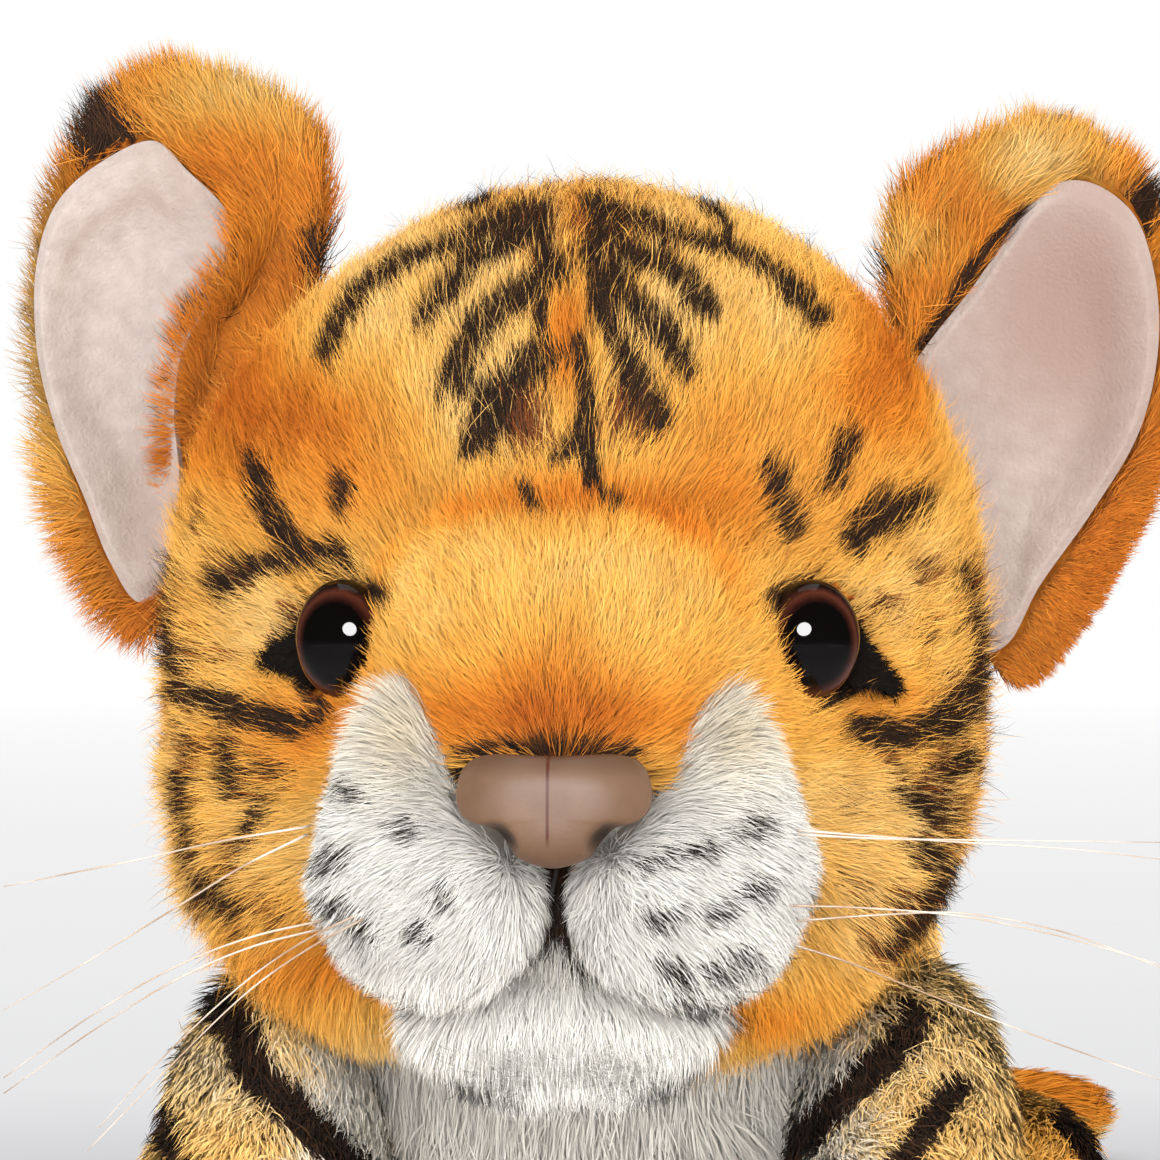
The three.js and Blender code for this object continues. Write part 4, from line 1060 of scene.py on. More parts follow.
def pad_form(side, inset):
    form = lobe(outline_of(PAD_SHARES, PAD_HALF), PAD_BULGE, PAD_BACK, PAD_FULLNESS, inset)
    if side < 0:
        form = mirrored(form)
    place = PAD_PLACE + np.array([side * PAD_SPREAD, 0, 0])
    return on_face(form[0], place, side * PAD_TURN), form[1]


def pad_comb(side):
    def comb(p, n):
        away = unit(p - (NOSE + np.array([side * 2.0, 0, -4])))
        return away + np.array([side * 0.12, 0, -0.45])
    return comb


def pad_density(p, n):
    px, py = to_pixels(p)
    clear = (oval(px, py, *PAD_OPENING) > 1) & (np.abs(px - MOUTH_X) > 6)
    return np.where(clear & (p[:, 1] < -40), 1.0, 0.0)


def pad_length(p):
    return 6.0 + 3.0 * ease(oval(*to_pixels(p), *PAD_LONG), 0.5, 1.0)


WHITE_COAT = {"colour": white_colour, "pull": 0.36, "tuft": 22, "wave": 0.4}
for side, word in ((-1, "left"), (1, "right")):
    pad = pad_form(side, PAD_SKIN_DEPTH)
    skin(f"muzzle_{word}_fabric", "head", [f"muzzle_pad_{word}"], pad, white_colour,
         seed=2)
    grow(f"muzzle_{word}_pile", "head", pad, {
        **WHITE_COAT, "comb": pad_comb(side), "length": pad_length, "density": pad_density,
        # root: lighter painted shade at the pads' roots than at the head's
        "width": 0.13, "stand": 0.6, "stray": 0.3, "root": 0.72,
    })


def chin_comb(p, n):
    hanging = ease(-n[:, 2], 0.3, 0.8)[:, None]
    down = p * np.array([0.012, 0, 0]) + np.array([0, -0.15, -1.0])
    return down + hanging * np.array([0, -0.6, 0])


def chin_length(p):
    return 10.0 + 2.0 * ease(-p[:, 2], -57, -49)


chin = lobe(outline_of(CHIN_SHARES, CHIN_HALF), CHIN_BULGE, CHIN_BULGE, CHIN_FULLNESS, CHIN_SKIN_DEPTH)
chin = (chin[0] + CHIN_PLACE, chin[1])
skin("chin_fabric", "head", ["chin_pad"], chin, white_colour, seed=3)
grow("chin_pile", "head", chin, {
    **WHITE_COAT, "comb": chin_comb, "length": chin_length, "width": 0.14, "stand": 0.55, "stray": 0.25,
    # root: lighter painted shade at the chin's roots than at the head's
    "pull": 0.4, "root": 0.75,
})

# Torso, with the chest's white panel: shares along it, of its width and of its height
TORSO_SHARES = [(-0.1, 0.9, 0.96), (0.18, 0.93, 1), (0.45, 0.92, 0.96), (0.72, 1, 1), (1, 0.82, 0.84)]
torso_spine = [(0, CHEST_BACK + along * TORSO_LENGTH, high * TORSO_HALF_HEIGHT - FLOOR_CUT)
               for along, wide, high in TORSO_SHARES]
torso_halves = [(wide * TORSO_HALF_WIDTH, high * TORSO_HALF_HEIGHT) for along, wide, high in TORSO_SHARES]


def front_gather(p, n):
    """More light from the front on the shoulders, in the head's shade."""
    near = (0.5 + 0.5 * ease(-p[:, 1], -90, -20)) * (1 - ease(n[:, 1], 0.2, 0.7))
    return near[:, None] * np.array([0, -1.2, 0.2])


def torso_comb(p, n):
    breast = ease(-p[:, 1], -40, 0)[:, None]
    back = np.stack([0.004 * p[:, 0], np.ones(len(p)), -0.35 - 0.002 * np.abs(p[:, 0])], axis=1)
    front = p * np.array([0.006, 0, 0]) + np.array([0, -0.1, -1.0])
    return back * (1 - breast) + front * breast


def torso_length(p):
    return 11.0 + 2.0 * ease(-p[:, 1], -30, 5)


def sparse_below(p, n):
    return np.where(p[:, 2] < 2.5, 0.2, 1.0)


# Along each limb, outwards, and then the width and the rise of a foreleg, or the size of a foot
FORELEG_SHARES = [
    (0, 0.9, 0.86, 0.85), (0.2, 0.93, 0.94, 1), (0.45, 0.99, 0.94, 0.4), (0.74, 1, 0.86, -0.15),
    (1, 0.97, 1.08, 0.02),
]
FOOT_SHARES = [(0, 0.74, 0.95), (0.35, 0.92, 0.92), (0.7, 1, 0.94), (1, 1, 1)]


def foreleg_form(side, inset):
    def height(rise):
        return FORELEG_HALF_HEIGHT + rise * (SHOULDER_HALF_HEIGHT - FORELEG_HALF_HEIGHT)
    top = CHEST_BACK + ELBOW_BACK
    spine = [(side * out * FORELEG_SPREAD, top - along * FORELEG_LENGTH, height(rise) - FLOOR_CUT)
             for along, out, w, rise in FORELEG_SHARES]
    halves = [(w * FORELEG_HALF_WIDTH, height(rise)) for along, out, w, rise in FORELEG_SHARES]
    return stuffed(spine, halves, LIMB_FULLNESS, inset)


def hind_forms(side, inset):
    thigh = [(side * HIND_SPREAD, HIND_BACK - end * HIND_HALF_LENGTH, HIND_HALF_HEIGHT - FLOOR_CUT)
             for end in (-1, 1)]
    heel = HIND_BACK + HIND_HALF_LENGTH / 2
    foot = [(side * out * FOOT_SPREAD, heel - along * FOOT_LENGTH, size * FOOT_HALF_HEIGHT - FLOOR_CUT)
            for along, out, size in FOOT_SHARES]
    foot_halves = [(size * FOOT_HALF_WIDTH, size * FOOT_HALF_HEIGHT) for along, out, size in FOOT_SHARES]
    return [stuffed(thigh, [(HIND_HALF_WIDTH, HIND_HALF_HEIGHT)] * 2, THIGH_FULLNESS, inset),
            stuffed(foot, foot_halves, LIMB_FULLNESS, inset)]


def torso_forms(chest_detail=(), back_detail=()):
    return [ball(CHEST_RADIUS - SKIN_DEPTH, CHEST, *chest_detail),
            stuffed(torso_spine, torso_halves, TORSO_FULLNESS, SKIN_DEPTH, *back_detail)]


torso_form = joined_skin(
    "torso_fabric", "torso", ["torso_skin", "chest_bib"], torso_forms(), TORSO_VOXEL, torso_colour, seed=4)
limbs = [foreleg_form(side, SKIN_DEPTH) for side in (-1, 1)]
limbs += [form for side in (-1, 1) for form in hind_forms(side, SKIN_DEPTH)]
BODY_COAT = {
    "width": 0.28, "stand": 0.6, "tuft": 14, "pull": 0.3, "floor": 0.4, "wave": 0.35, "stray": 0.25,
    # root: lighter painted shade at the body's roots than at the head's
    "root": 0.85, "gather": front_gather, "density": sparse_below,
}
grow("torso_pile", "torso", torso_form, {
    **BODY_COAT, "colour": torso_colour, "comb": torso_comb, "length": torso_length, "width": 0.34,
    # root: darker painted shade at the torso's roots than at the legs'
    "wave": 0.4, "root": 0.7,
    "density": lambda p, n: (1 + 1.5 * ease(-p[:, 1], -60, 0)) * sparse_below(p, n),
}, outside(torso_form, limbs))

# Legs
FORELEG_LIFT = 0.6


def foreleg_comb(side):
    def comb(p, n):
        high = ease(p[:, 1], 0, 40)[:, None]
        return np.array([0.1 * side, -1.0, -0.3]) * (1 - high) + np.array([0.7 * side, -0.2, -0.5]) * high
    return comb


def hind_comb(side):
    def comb(p, n):
        thigh = ease(p[:, 2], 26, 40)[:, None]
        foot = np.array([0.1 * side, -1.0, -0.25])
        return foot * (1 - thigh) + np.array([0.1 * side, 0.5, -0.9]) * thigh
    return comb


def limb_length(p):
    return 9.5 + 4.5 * ease(p[:, 2], 30, 55) * (p[:, 1] < 80)


torso_shell = torso_forms((24, 32), (24, 24))
for side, word in ((-1, "left"), (1, "right")):
    leg_rule = leg_colour(side, 60 + side)
    coat = {**BODY_COAT, "colour": leg_rule, "length": limb_length}
    foreleg = foreleg_form(side, SKIN_DEPTH)
    foreleg[0][:, 2] = np.maximum(foreleg[0][:, 2], FORELEG_LIFT)
    body = f"foreleg_{word}"
    skin(f"{body}_fabric", body, [f"foreleg_skin_{word}"], foreleg, leg_rule, seed=5)
    grow(f"{body}_pile", body, foreleg, {**coat, "comb": foreleg_comb(side)},
         outside(foreleg, torso_shell))
    hind = joined_skin(f"hind_leg_{word}_fabric", "torso", [f"hind_leg_skin_{word}"],
                       hind_forms(side, SKIN_DEPTH), HIND_VOXEL, leg_rule, seed=6)
    grow(f"hind_leg_{word}_pile", "torso", hind, {**coat, "comb": hind_comb(side)},
         outside(hind, torso_shell))

# Tail: shares of its reach backwards and sideways, of its root's height and of its radius
TAIL_SHARES = [
    (-0.08, 0, 1.05, 1), (0.28, 0.01, 0.5, 1), (0.55, 0.08, 0.06, 0.98), (0.82, 0.3, 0, 0.95),
    (0.97, 0.63, 0, 0.92), (1, 1, 0, 0.9),
]
tail_spine = [(out * TAIL_SWEEP, TAIL_ROOT[1] + back * TAIL_REACH,
               lift * TAIL_ROOT[2] + (1 - lift) * (size * TAIL_RADIUS - FLOOR_CUT))
              for back, out, lift, size in TAIL_SHARES]
TAIL_TRAIL = np.array([catmull(tail_spine, k / 60) for k in range(61)])
tail_halves = [(size * TAIL_RADIUS,) * 2 for back, out, lift, size in TAIL_SHARES]
tail_form = joined_skin("tail_fabric", "tail", ["tail_skin"], [
    stuffed(tail_spine, tail_halves, TAIL_FULLNESS, THIN_SKIN_DEPTH),
    ball(TAIL_ROOT_RADIUS - THIN_SKIN_DEPTH, TAIL_ROOT),
], TAIL_VOXEL, tail_colour, seed=7)
grow("tail_pile", "tail", tail_form, {
    "colour": tail_colour, "comb": tail_comb, "length": lambda p: np.full(len(p), 9.0), "width": 0.3,
    "stand": 0.55, "tuft": 14, "pull": 0.4, "floor": 0.4, "wave": 0.35, "stray": 0.2,
}, outside(tail_form, torso_shell))

# Ears
EAR_SHARES = [
    (1, 0.59), (0.92, 0.78), (0.78, 0.93), (0.5, 1), (0.24, 0.96), (0.03, 0.86), (0, 0.7), (0.1, 0.48),
    (0.24, 0.28), (0.42, 0.08), (0.62, 0), (0.78, 0.1), (0.92, 0.26), (0.98, 0.42),
]
EAR_ROOT_SHARES = [(0.05, 0.67), (0.54, 0.03)]


def ear_place(share):
    return np.array([EAR_ROOT_SPREAD + share[0] * EAR_REACH, EAR_SETBACK, EAR_FOOT + share[1] * EAR_HEIGHT])


EAR_ROOT = (ear_place(EAR_ROOT_SHARES[0]) + ear_place(EAR_ROOT_SHARES[1])) / 2


def lean_of(side):
    return (RIGHT_EAR_LEAN, RIGHT_EAR_DROP) if side > 0 else (0.0, 0.0)


def set_ear(points, side):
    """Leans and lowers the right ear, and mirrors the left one, as the CAD does."""
    lean, drop = lean_of(side)
    return (rolled(points - EAR_ROOT, lean) + EAR_ROOT - np.array([0, 0, drop])) * np.array([side, 1, 1])


def unset_ear(points, side):
    """Brings places on a set ear back to the upright right-hand ear."""
    lean, drop = lean_of(side)
    return rolled(points * np.array([side, 1, 1]) + np.array([0, 0, drop]) - EAR_ROOT, -lean) + EAR_ROOT


LINING_SHARES = {
    -1: [(0.59, 0.87), (0.77, 0.83), (0.9, 0.76), (0.96, 0.66), (0.96, 0.51), (0.9, 0.37), (0.81, 0.25),
         (0.73, 0.14), (0.64, 0.07), (0.55, 0.1), (0.5, 0.24), (0.52, 0.4), (0.49, 0.51), (0.36, 0.64),
         (0.36, 0.74), (0.49, 0.82)],
    1: [(0.14, 0.53), (0.31, 0.71), (0.49, 0.89), (0.61, 0.91), (0.76, 0.87), (0.85, 0.78), (0.9, 0.65),
        (0.88, 0.5), (0.77, 0.35), (0.64, 0.21), (0.56, 0.1), (0.46, 0.08), (0.26, 0.3), (0.14, 0.44)],
}


def rim_share(shares, x, z):
    """How far places lie from the middle of an outline towards its edge."""
    edge = np.array([ear_place(share) for share in shares])
    middle = edge.mean(axis=0)
    rims = np.array([catmull(edge, k / 160, True) - middle for k in range(160)])
    around = np.arctan2(rims[:, 2], rims[:, 0])
    order = np.argsort(around)
    reach = np.hypot(rims[:, 0], rims[:, 2])
    angle = np.arctan2(z - middle[2], x - middle[0])
    limit = np.interp(angle, around[order], reach[order], period=2 * np.pi)
    return np.hypot(x - middle[0], z - middle[2]) / limit


def share_on_ear(shares, p, side):
    here = unset_ear(p, side)
    return rim_share(shares, here[:, 0], here[:, 2])


def ear_base(side, x, z):
    """The middle of the ear's sheet: cupped behind the lining, and rolled forward beside it."""
    ear = np.clip(rim_share(EAR_SHARES, x, z), 0, 1)
    hollow = rim_share(LINING_SHARES[side], x, z)
    inner = ease(-x, -80, -62) * ease(z, 135, 160)
    roll = np.exp(-((hollow - 1.22) / 0.2) ** 2) * inner
    return EAR_SETBACK + EAR_DISH * (1 - ear ** 2) + 3.4 * (1 - ease(hollow, 0.45, 0.98)) - 3.6 * roll


def ear_outline(shares):
    return [(p[0], p[2]) for p in map(ear_place, shares)]


def ear_back_form(side, inset):
    half = EAR_THICKNESS / 2
    points, faces = lobe(ear_outline(EAR_SHARES), half, half, EAR_FULLNESS, inset, 60, 120)
    points[:, 1] += ear_base(side, points[:, 0], points[:, 2])
    return outward(set_ear(points, side), faces)


def ear_lining_form(side):
    outline = ear_outline(LINING_SHARES[side])
    points, faces = lobe(outline, LINING_HALF, LINING_HALF, LINING_FULLNESS, 0, 90, 160)
    x, z = points[:, 0].copy(), points[:, 2].copy()
    hollow = rim_share(LINING_SHARES[side], x, z)
    front = EAR_THICKNESS / 2 * np.sqrt(np.clip(1 - rim_share(EAR_SHARES, x, z) ** 2, 0, 1))
    points[:, 1] += ear_base(side, x, z) - front - 0.6 + 1.2 * ease(hollow, 0.9, 1.0)
    points[:, 1] -= 0.5 * noise(points, 14, 91)
    return (*outward(set_ear(points, side), faces), np.clip(hollow, 0, 1))


# Soft spots of each ear's pile, in pixels: where it is paler, and where it is black
EAR_PALE = {
    -1: [(0.24, 240, 90, 110, 50), (0.2, 30, 380, 45, 260)],
    1: [(0.24, 1030, 160, 80, 46), (0.2, 900, 240, 50, 40)],
}
EAR_BLACK = {
    -1: [(1, 92, 118, 40, 48), (1, 320, 246, 26, 36)],
    1: [(1, 1146, 200, 26, 26), (1, 866, 262, 26, 20)],
}
EAR_DUSK = [(0.16, 240, 90, 110, 50), (0.12, 970, 200, 110, 50)]


def ear_colour(side):
    def rule(p, n, rng):
        px, py = to_pixels(p)
        count = len(p)
        tint = 0.60 + 0.06 * noise(p, 10, 81) + 0.03 * rng.normal(size=count) - spots(px, py, EAR_PALE[side])
        black = pick(spots(px, py, EAR_BLACK[side]), rng, 0.3, 0.8)
        black |= pick(line_cover(px, py, EAR_EDGE), rng, -0.1, 0.8)
        back = ease(n[:, 1], 0.4, 0.75)
        span = np.linalg.norm((p - EAR_ROOT * np.array([side, 1, 1])) * np.array([1, 0.4, 1]), axis=1)
        behind = (rng.random(count) < back) & (share_on_ear(EAR_SHARES, p, side) < 0.62)
        pale_spot = (span > 20) & (span < 33) & (np.abs(n[:, 0]) < 0.7)
        black = np.where(behind, (span > 6) & ~pale_spot, black)
        tint = np.where(behind & pale_spot, 0.12, tint)
        pigment = np.where(black, 0.98 - 0.16 * rng.random(count) ** 2, tint)
        shade = 0.75 + 0.06 * rng.normal(size=count) + 0.09 * noise(p, 3, 82) - spots(px, py, EAR_DUSK)
        return kept_in(pigment, shade)
    return rule


def ear_coat(side):
    root = set_ear(EAR_ROOT[None], side)[0]

    def comb(p, n):
        away = unit(p - root)
        away[:, 2] += 0.25
        here = unset_ear(p, side)
        inner = (ease(-here[:, 0], -76, -60) * ease(-n[:, 1], 0, 0.5))[:, None]
        return away * (1 - 0.5 * inner) + np.array([0.5 * side, 0, 0.2]) * inner

    def density(p, n):
        hollow = share_on_ear(LINING_SHARES[side], p, side)
        return np.where((hollow < 1.02) & (n[:, 1] < 0.1), 0.0, 1.0)

    def gather(p, n):
        edge = ease(share_on_ear(EAR_SHARES, p, side), 0.5, 0.7)
        return edge[:, None] * np.array([0, -2.0, 0.2])

    def length(p):
        return 8.5 - 5.5 * ease(-p[:, 2], -148, -120) * (side > 0) * (p[:, 0] > 60)
    return {
        "colour": ear_colour(side), "comb": comb, "density": density, "gather": gather, "length": length,
        "width": 0.14, "tuft": 20, "pull": 0.36, "stray": 0.32, "wave": 0.5, "stand": 0.55,
    }


def velour_material():
    m, tree, shader = material("ear_velour")
    light = layer_parts(tree, "shade")[0]
    base = ramp(tree, grain(tree, 320, 5), [(0.3, (172, 157, 148)), (0.7, (189, 175, 167))])
    # The shade layer mixes the velour towards a darker brown: painted shade
    feed(tree, shader, {
        "Base Color": blend(tree, light, colour(150, 124, 112), base), "Roughness": 0.9,
        "Sheen Weight": 0.3, "Sheen Roughness": 0.4,
    })
    roughen(tree, shader, grain(tree, 1500, 4), 0.6, 0.0005)
    return m


# Soft spots of the linings' shade, in pixels
LINING_SHADE = {
    -1: [(-0.25, 175, 190, 60, 40), (-0.45, 150, 520, 40, 90), (-0.22, 200, 300, 26, 90)],
    1: [(-0.48, 1045, 310, 70, 120), (-0.25, 1100, 300, 36, 130), (0.30, 1020, 520, 60, 110)],
}


def velour_shade(p, side, hollow):
    """How light the velour is: painted shade in its creases and where the head's pile shades it, and painted
    light on the right lining's lip.
    """
    px, py = to_pixels(p)
    dusk = spots(px, py, LINING_SHADE[side])
    if side < 0:
        crease = np.exp(-((hollow - 0.74) / 0.045) ** 2) * ease(-py, -330, -250) * ease(-px, -190, -150)
        return 0.95 + dusk - 0.3 * crease
    lip = ease(hollow, 0.88, 0.94) * ease(-px, -1075, -1040) * ease(-py, -400, -350)
    return (0.52 + dusk) * (1 - lip) + 0.72 * lip


velour = velour_material()
for side, word in ((-1, "left"), (1, "right")):
    back = ear_back_form(side, THIN_SKIN_DEPTH)
    body, nodes = f"ear_{word}", [f"ear_back_{word}"]
    skin(f"{body}_fabric", body, nodes, back, ear_colour(side), seed=8)
    grow(f"{body}_pile", body, back, ear_coat(side))
    points, faces, hollow = ear_lining_form(side)
    lining = object_from(f"{body}_velour", points, faces, velour)
    lay_colours(lining, velour_shade(points, side, hollow), np.full(len(points), 0.5), "shade")
    settle(lining, body, [f"ear_lining_{word}"])

# Eyes: black in the middle, with a brown ring
EYE_RINGS = [
    (0.0, (8, 6, 6)), (0.70, (6, 4, 4)), (0.78, (40, 17, 11)), (0.88, (76, 38, 26)), (0.97, (32, 14, 10)),
    (1.0, (16, 9, 7)),
]
EYE_LOOK_IN, EYE_LOOK_UP = 0.02, 0.07


def eye_material():
    m, tree, shader = material("eye_gloss")
    place = add(tree, "UVMap", uv_map="dome").outputs["UV"]
    streak = add(tree, "TexNoise", {"Vector": place, "Scale": 9}).outputs["Fac"]
    around = reckon(tree, "MULTIPLY_ADD", streak, 0.06, length_of(tree, place))
    rings = ramp(tree, around, EYE_RINGS)
    feed(tree, shader, {"Base Color": rings, "Roughness": 0.04, "Specular IOR Level": 0.18})
    return m


def dome(side, steps=26, sides=64):
    turn = np.linspace(0, 2 * math.pi, sides, endpoint=False)
    rows = []
    for angle in np.arange(1, steps + 1) / steps * math.pi / 2:
        rows.append(np.stack([
            np.sin(angle) * np.cos(turn) * EYE_HALF[0], np.full(sides, -math.cos(angle) * EYE_BULGE),
            np.sin(angle) * np.sin(turn) * EYE_HALF[1],
        ], axis=1))
    rows.append(rows[-1] + np.array([0, EYE_RIM, 0]))
    points, faces = closed_form(np.array(rows), np.array([0, -EYE_BULGE, 0.0]), np.array([0, EYE_RIM, 0.0]))
    flat = points[:, [0, 2]] / np.array(EYE_HALF) + np.array([side * EYE_LOOK_IN, EYE_LOOK_UP])
    place = head_point(side * EYE_TURN, EYE_RISE, 0.2)
    return on_face(points, place, side * EYE_FACING), faces, flat


eye_gloss = eye_material()
for side, word in ((-1, "left"), (1, "right")):
    points, faces, flat = dome(side)
    eye = object_from(f"eye_{word}_dome", points, faces, eye_gloss)
    layer = eye.data.uv_layers.new(name="dome")
    for loop in eye.data.loops:
        layer.data[loop.index].uv = flat[loop.vertex_index]
    settle(eye, "head", [f"eye_{word}"])


# Nose
def groove_shade(tree):
    """How much of the brown line down the nose a place has: painted shade of the groove there."""
    across, up = layer_parts(tree, "seam")
    gap = reckon(tree, "ABSOLUTE", reckon(tree, "SUBTRACT", across, 0.494))
    return reckon(tree, "MULTIPLY", stretch(tree, gap, 0.0014, 0.0034, 0.95, 0.0),
                  stretch(tree, up, 0.448, 0.466, 0.0, 1.0))


def vinyl_material():
    m, tree, shader = material("nose_vinyl")
    base = ramp(tree, grain(tree, 130, 4), [(0.3, (108, 80, 60)), (0.7, (122, 92, 71))])
    tone = blend(tree, 1, base, layer_parts(tree, "shade")[0], "MULTIPLY")
    skin_tone = blend(tree, groove_shade(tree), tone, colour(78, 30, 10))
    feed(tree, shader, {"Base Color": skin_tone, "Roughness": 0.5, "Specular IOR Level": 0.22})
    place = add(tree, "TexCoord").outputs["Object"]
    pore = add(tree, "TexVoronoi", {"Vector": place, "Scale": 1600}).outputs["Distance"]
    roughen(tree, shader, pore, 0.07, 0.0002)
    return m


NOSE_SHARES = [
    (1, 0.24), (0.94, 0.74), (0.76, 0.98), (0, 0.97), (-0.76, 0.98), (-0.94, 0.74), (-1, 0.24),
    (-0.93, -0.07), (-0.8, -0.2), (-0.63, -0.28), (-0.47, -0.56), (-0.38, -0.78), (-0.18, -0.94), (0, -1.0),
    (0.18, -0.94), (0.38, -0.78), (0.47, -0.56), (0.63, -0.28), (0.8, -0.2), (0.93, -0.07),
]
NOSTRIL_X, NOSTRIL_Z, NOSTRIL_SLOPE, NOSTRIL_DEPTH = 7.0, -3.3, 0.85, 3.2


def nostrils(points):
    """How deep each place lies in one of the two slanting nostrils."""
    deep = np.zeros(len(points))
    for side in (-1, 1):
        x, z = side * points[:, 0] - NOSTRIL_X, points[:, 2] - NOSTRIL_Z
        along, across = (x + NOSTRIL_SLOPE * z) / 1.31, (z - NOSTRIL_SLOPE * x) / 1.31
        deep += np.exp(-(np.abs(along) / 2.5) ** 3 - (np.abs(across + 0.12 * along ** 2) / 1.05) ** 3)
    return deep * ease(-points[:, 1], 0, 3)


def nose_form():
    outline = outline_of(NOSE_SHARES, NOSE_HALF)
    points, faces = lobe(outline, NOSE_BULGE, NOSE_BACK, NOSE_FULLNESS, 0, 90, 160)
    y = points[:, 1]
    dome_share = np.clip(oval(points[:, 0], points[:, 2], 0, 0.6, 15.5, 10.5), 0, 0.98)
    edge_share = np.clip(-y / NOSE_BULGE, 0, 1) ** 0.22
    points[:, 1] = np.where(y < 0, -NOSE_BULGE * np.sqrt(1 - dome_share ** 4) * edge_share, y)
    points = relaxed(points, faces, 6)
    deep = nostrils(points)
    points[:, 1] += NOSTRIL_DEPTH * deep
    return points, faces, deep


points, faces, deep = nose_form()
nose_obj = object_from("nose_vinyl_form", points + NOSE, faces, vinyl_material())
# Painted shade on the nose: dark in the nostrils, darker towards the bottom, and darker along the top under the
# pile's fringe
nose_shade = 0.94 - 0.80 * deep - 0.1 * ease(-points[:, 2], 1, 8) - 0.3 * ease(points[:, 2], 4.5, 8)
lay_colours(nose_obj, nose_shade, np.full(len(points), 0.5), "shade")
# Places across and up the nose, which set the painted shade of its groove
lay_colours(nose_obj, 0.5 + points[:, 0] / 100, 0.5 + points[:, 2] / 100, "seam")
settle(nose_obj, "head", ["nose"])

# Felt at the outer corners of the eyes
CORNER_SHARES = [
    (1, 0), (0.45, 0.32), (-0.1, 0.62), (-0.6, 0.92), (-0.95, 0.9), (-1, 0), (-0.95, -0.9), (-0.6, -0.85),
    (-0.1, -0.5), (0.45, -0.22),
]
CORNER_HALF_THICKNESS, CORNER_SUNK = 0.6, 1.6
NAP_COAT = {
    "colour": lambda p, n, rng: (np.full(len(p), 0.99), 0.05 + 0.2 * rng.random(len(p))),
    "length": lambda p: np.full(len(p), 3.2), "width": 0.14, "stand": 0.5, "stray": 0.5, "pull": 0.2,
}


def corner_form(side):
    """A felt corner laid on the curve of the head, at its eye's outer end."""
    tilt = CORNER_TILTS[side]
    outline = outline_of(CORNER_SHARES, CORNER_HALF)
    points, faces = lobe(outline, CORNER_HALF_THICKNESS, CORNER_HALF_THICKNESS, 1, 0.5)
    if side < 0:
        points, faces = mirrored((points, faces))
    turn = EYE_TURN + (EYE_HALF[0] + CORNER_HALF[0] * math.cos(tilt) - CORNER_TUCK) / HEAD_HALF[0]
    rise = EYE_RISE - (CORNER_DROP + CORNER_HALF[0] * math.sin(tilt)) / HEAD_HALF[2]
    middle = head_point(side * turn, rise, 0)
    points = on_face(rolled(points, side * tilt), middle, side * turn)
    lift = (points - middle) @ np.array([math.sin(side * turn), -math.cos(side * turn), 0])
    way = unit(points - HEAD)
    return HEAD + way * (head_radius(way) - CORNER_SUNK + lift)[:, None], faces


felt = grainy_material("corner_felt", 1600, 2, [(0.0, (10, 8, 7)), (1.0, (26, 21, 19))], 1.0, (0.7, 0.0004))
for side, word in ((-1, "left"), (1, "right")):
    points, faces = corner_form(side)
    felt_obj = object_from(f"eye_corner_{word}_felt", points, faces, felt)
    settle(felt_obj, "head", [f"eye_corner_{word}"])
    nap_way = [0.8 * side, 0, -0.3]
    grow(f"eye_corner_{word}_nap", "head", (points, faces),
         {**NAP_COAT, "comb": lambda p, n, way=nap_way: np.tile(way, (len(p), 1))})

# Whiskers: the photograph's lines, from the pads outwards
WHISKERS = {
    "whisker_left_1": [(302, 828), (220, 842), (130, 862), (60, 876), (0, 888)],
    "whisker_left_2": [(300, 838), (240, 868), (180, 905), (90, 960), (0, 1012)],
    "whisker_left_3": [(318, 922), (250, 938), (180, 965), (100, 1010), (0, 1080)],
    "whisker_left_4": [(318, 930), (250, 948), (180, 978), (100, 1026), (0, 1096)],
    "whisker_left_5": [(362, 913), (310, 938), (250, 978), (160, 1060), (96, 1130)],
    "whisker_left_6": [(362, 920), (310, 948), (250, 990), (170, 1066), (84, 1154)],
    "whisker_right_1": [(800, 830), (880, 836), (970, 842), (1070, 848), (1160, 858)],
    "whisker_right_2": [(800, 834), (880, 838), (960, 839), (1060, 840), (1160, 841)],
    "whisker_right_3": [(790, 905), (860, 907), (960, 915), (1060, 935), (1160, 963)],
    "whisker_right_4": [(800, 920), (880, 914), (960, 912), (1060, 930), (1160, 966)],
    "whisker_right_5": [(790, 943), (850, 962), (920, 990), (1040, 1036), (1160, 1078)],
}
WHISKER_ROOT_RADIUS, WHISKER_TIP_RADIUS, WHISKER_SWEEP, WHISKER_STEPS = 0.2, 0.07, 9.0, 24

nylon = grainy_material("whisker_nylon", 90, 2, [(0.35, (170, 140, 112)), (0.6, (224, 208, 192))], 0.25)
for name, drawn in WHISKERS.items():
    root_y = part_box(name)[0][1] / MM - SHIFT[1] + 2.0
    trail = []
    for share in np.arange(WHISKER_STEPS + 1) / WHISKER_STEPS:
        trail.append(from_pixels(*catmull(drawn, share), root_y + WHISKER_SWEEP * share ** 2))
    sunk_root = trail[0] - (trail[1] - trail[0]) * 0.4 + np.array([0, 4.0, 0])
    trail = np.array([sunk_root, *trail])
    points, faces = tube(trail, np.linspace(WHISKER_ROOT_RADIUS, WHISKER_TIP_RADIUS, len(trail)))
    settle(object_from(f"{name}_hair", points, faces, nylon), "head", [name])

# Neck band, hidden fillings and small parts
FIBRE_RELIEF = (0.5, 0.0005)


def fibre_material(name, low, high, scale, rough):
    return grainy_material(name, scale, 6, [(0.3, low), (0.7, high)], rough, FIBRE_RELIEF)


def dress(mat, *nodes):
    for node in nodes:
        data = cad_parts[node].data
        data.materials.clear()
        data.materials.append(mat)


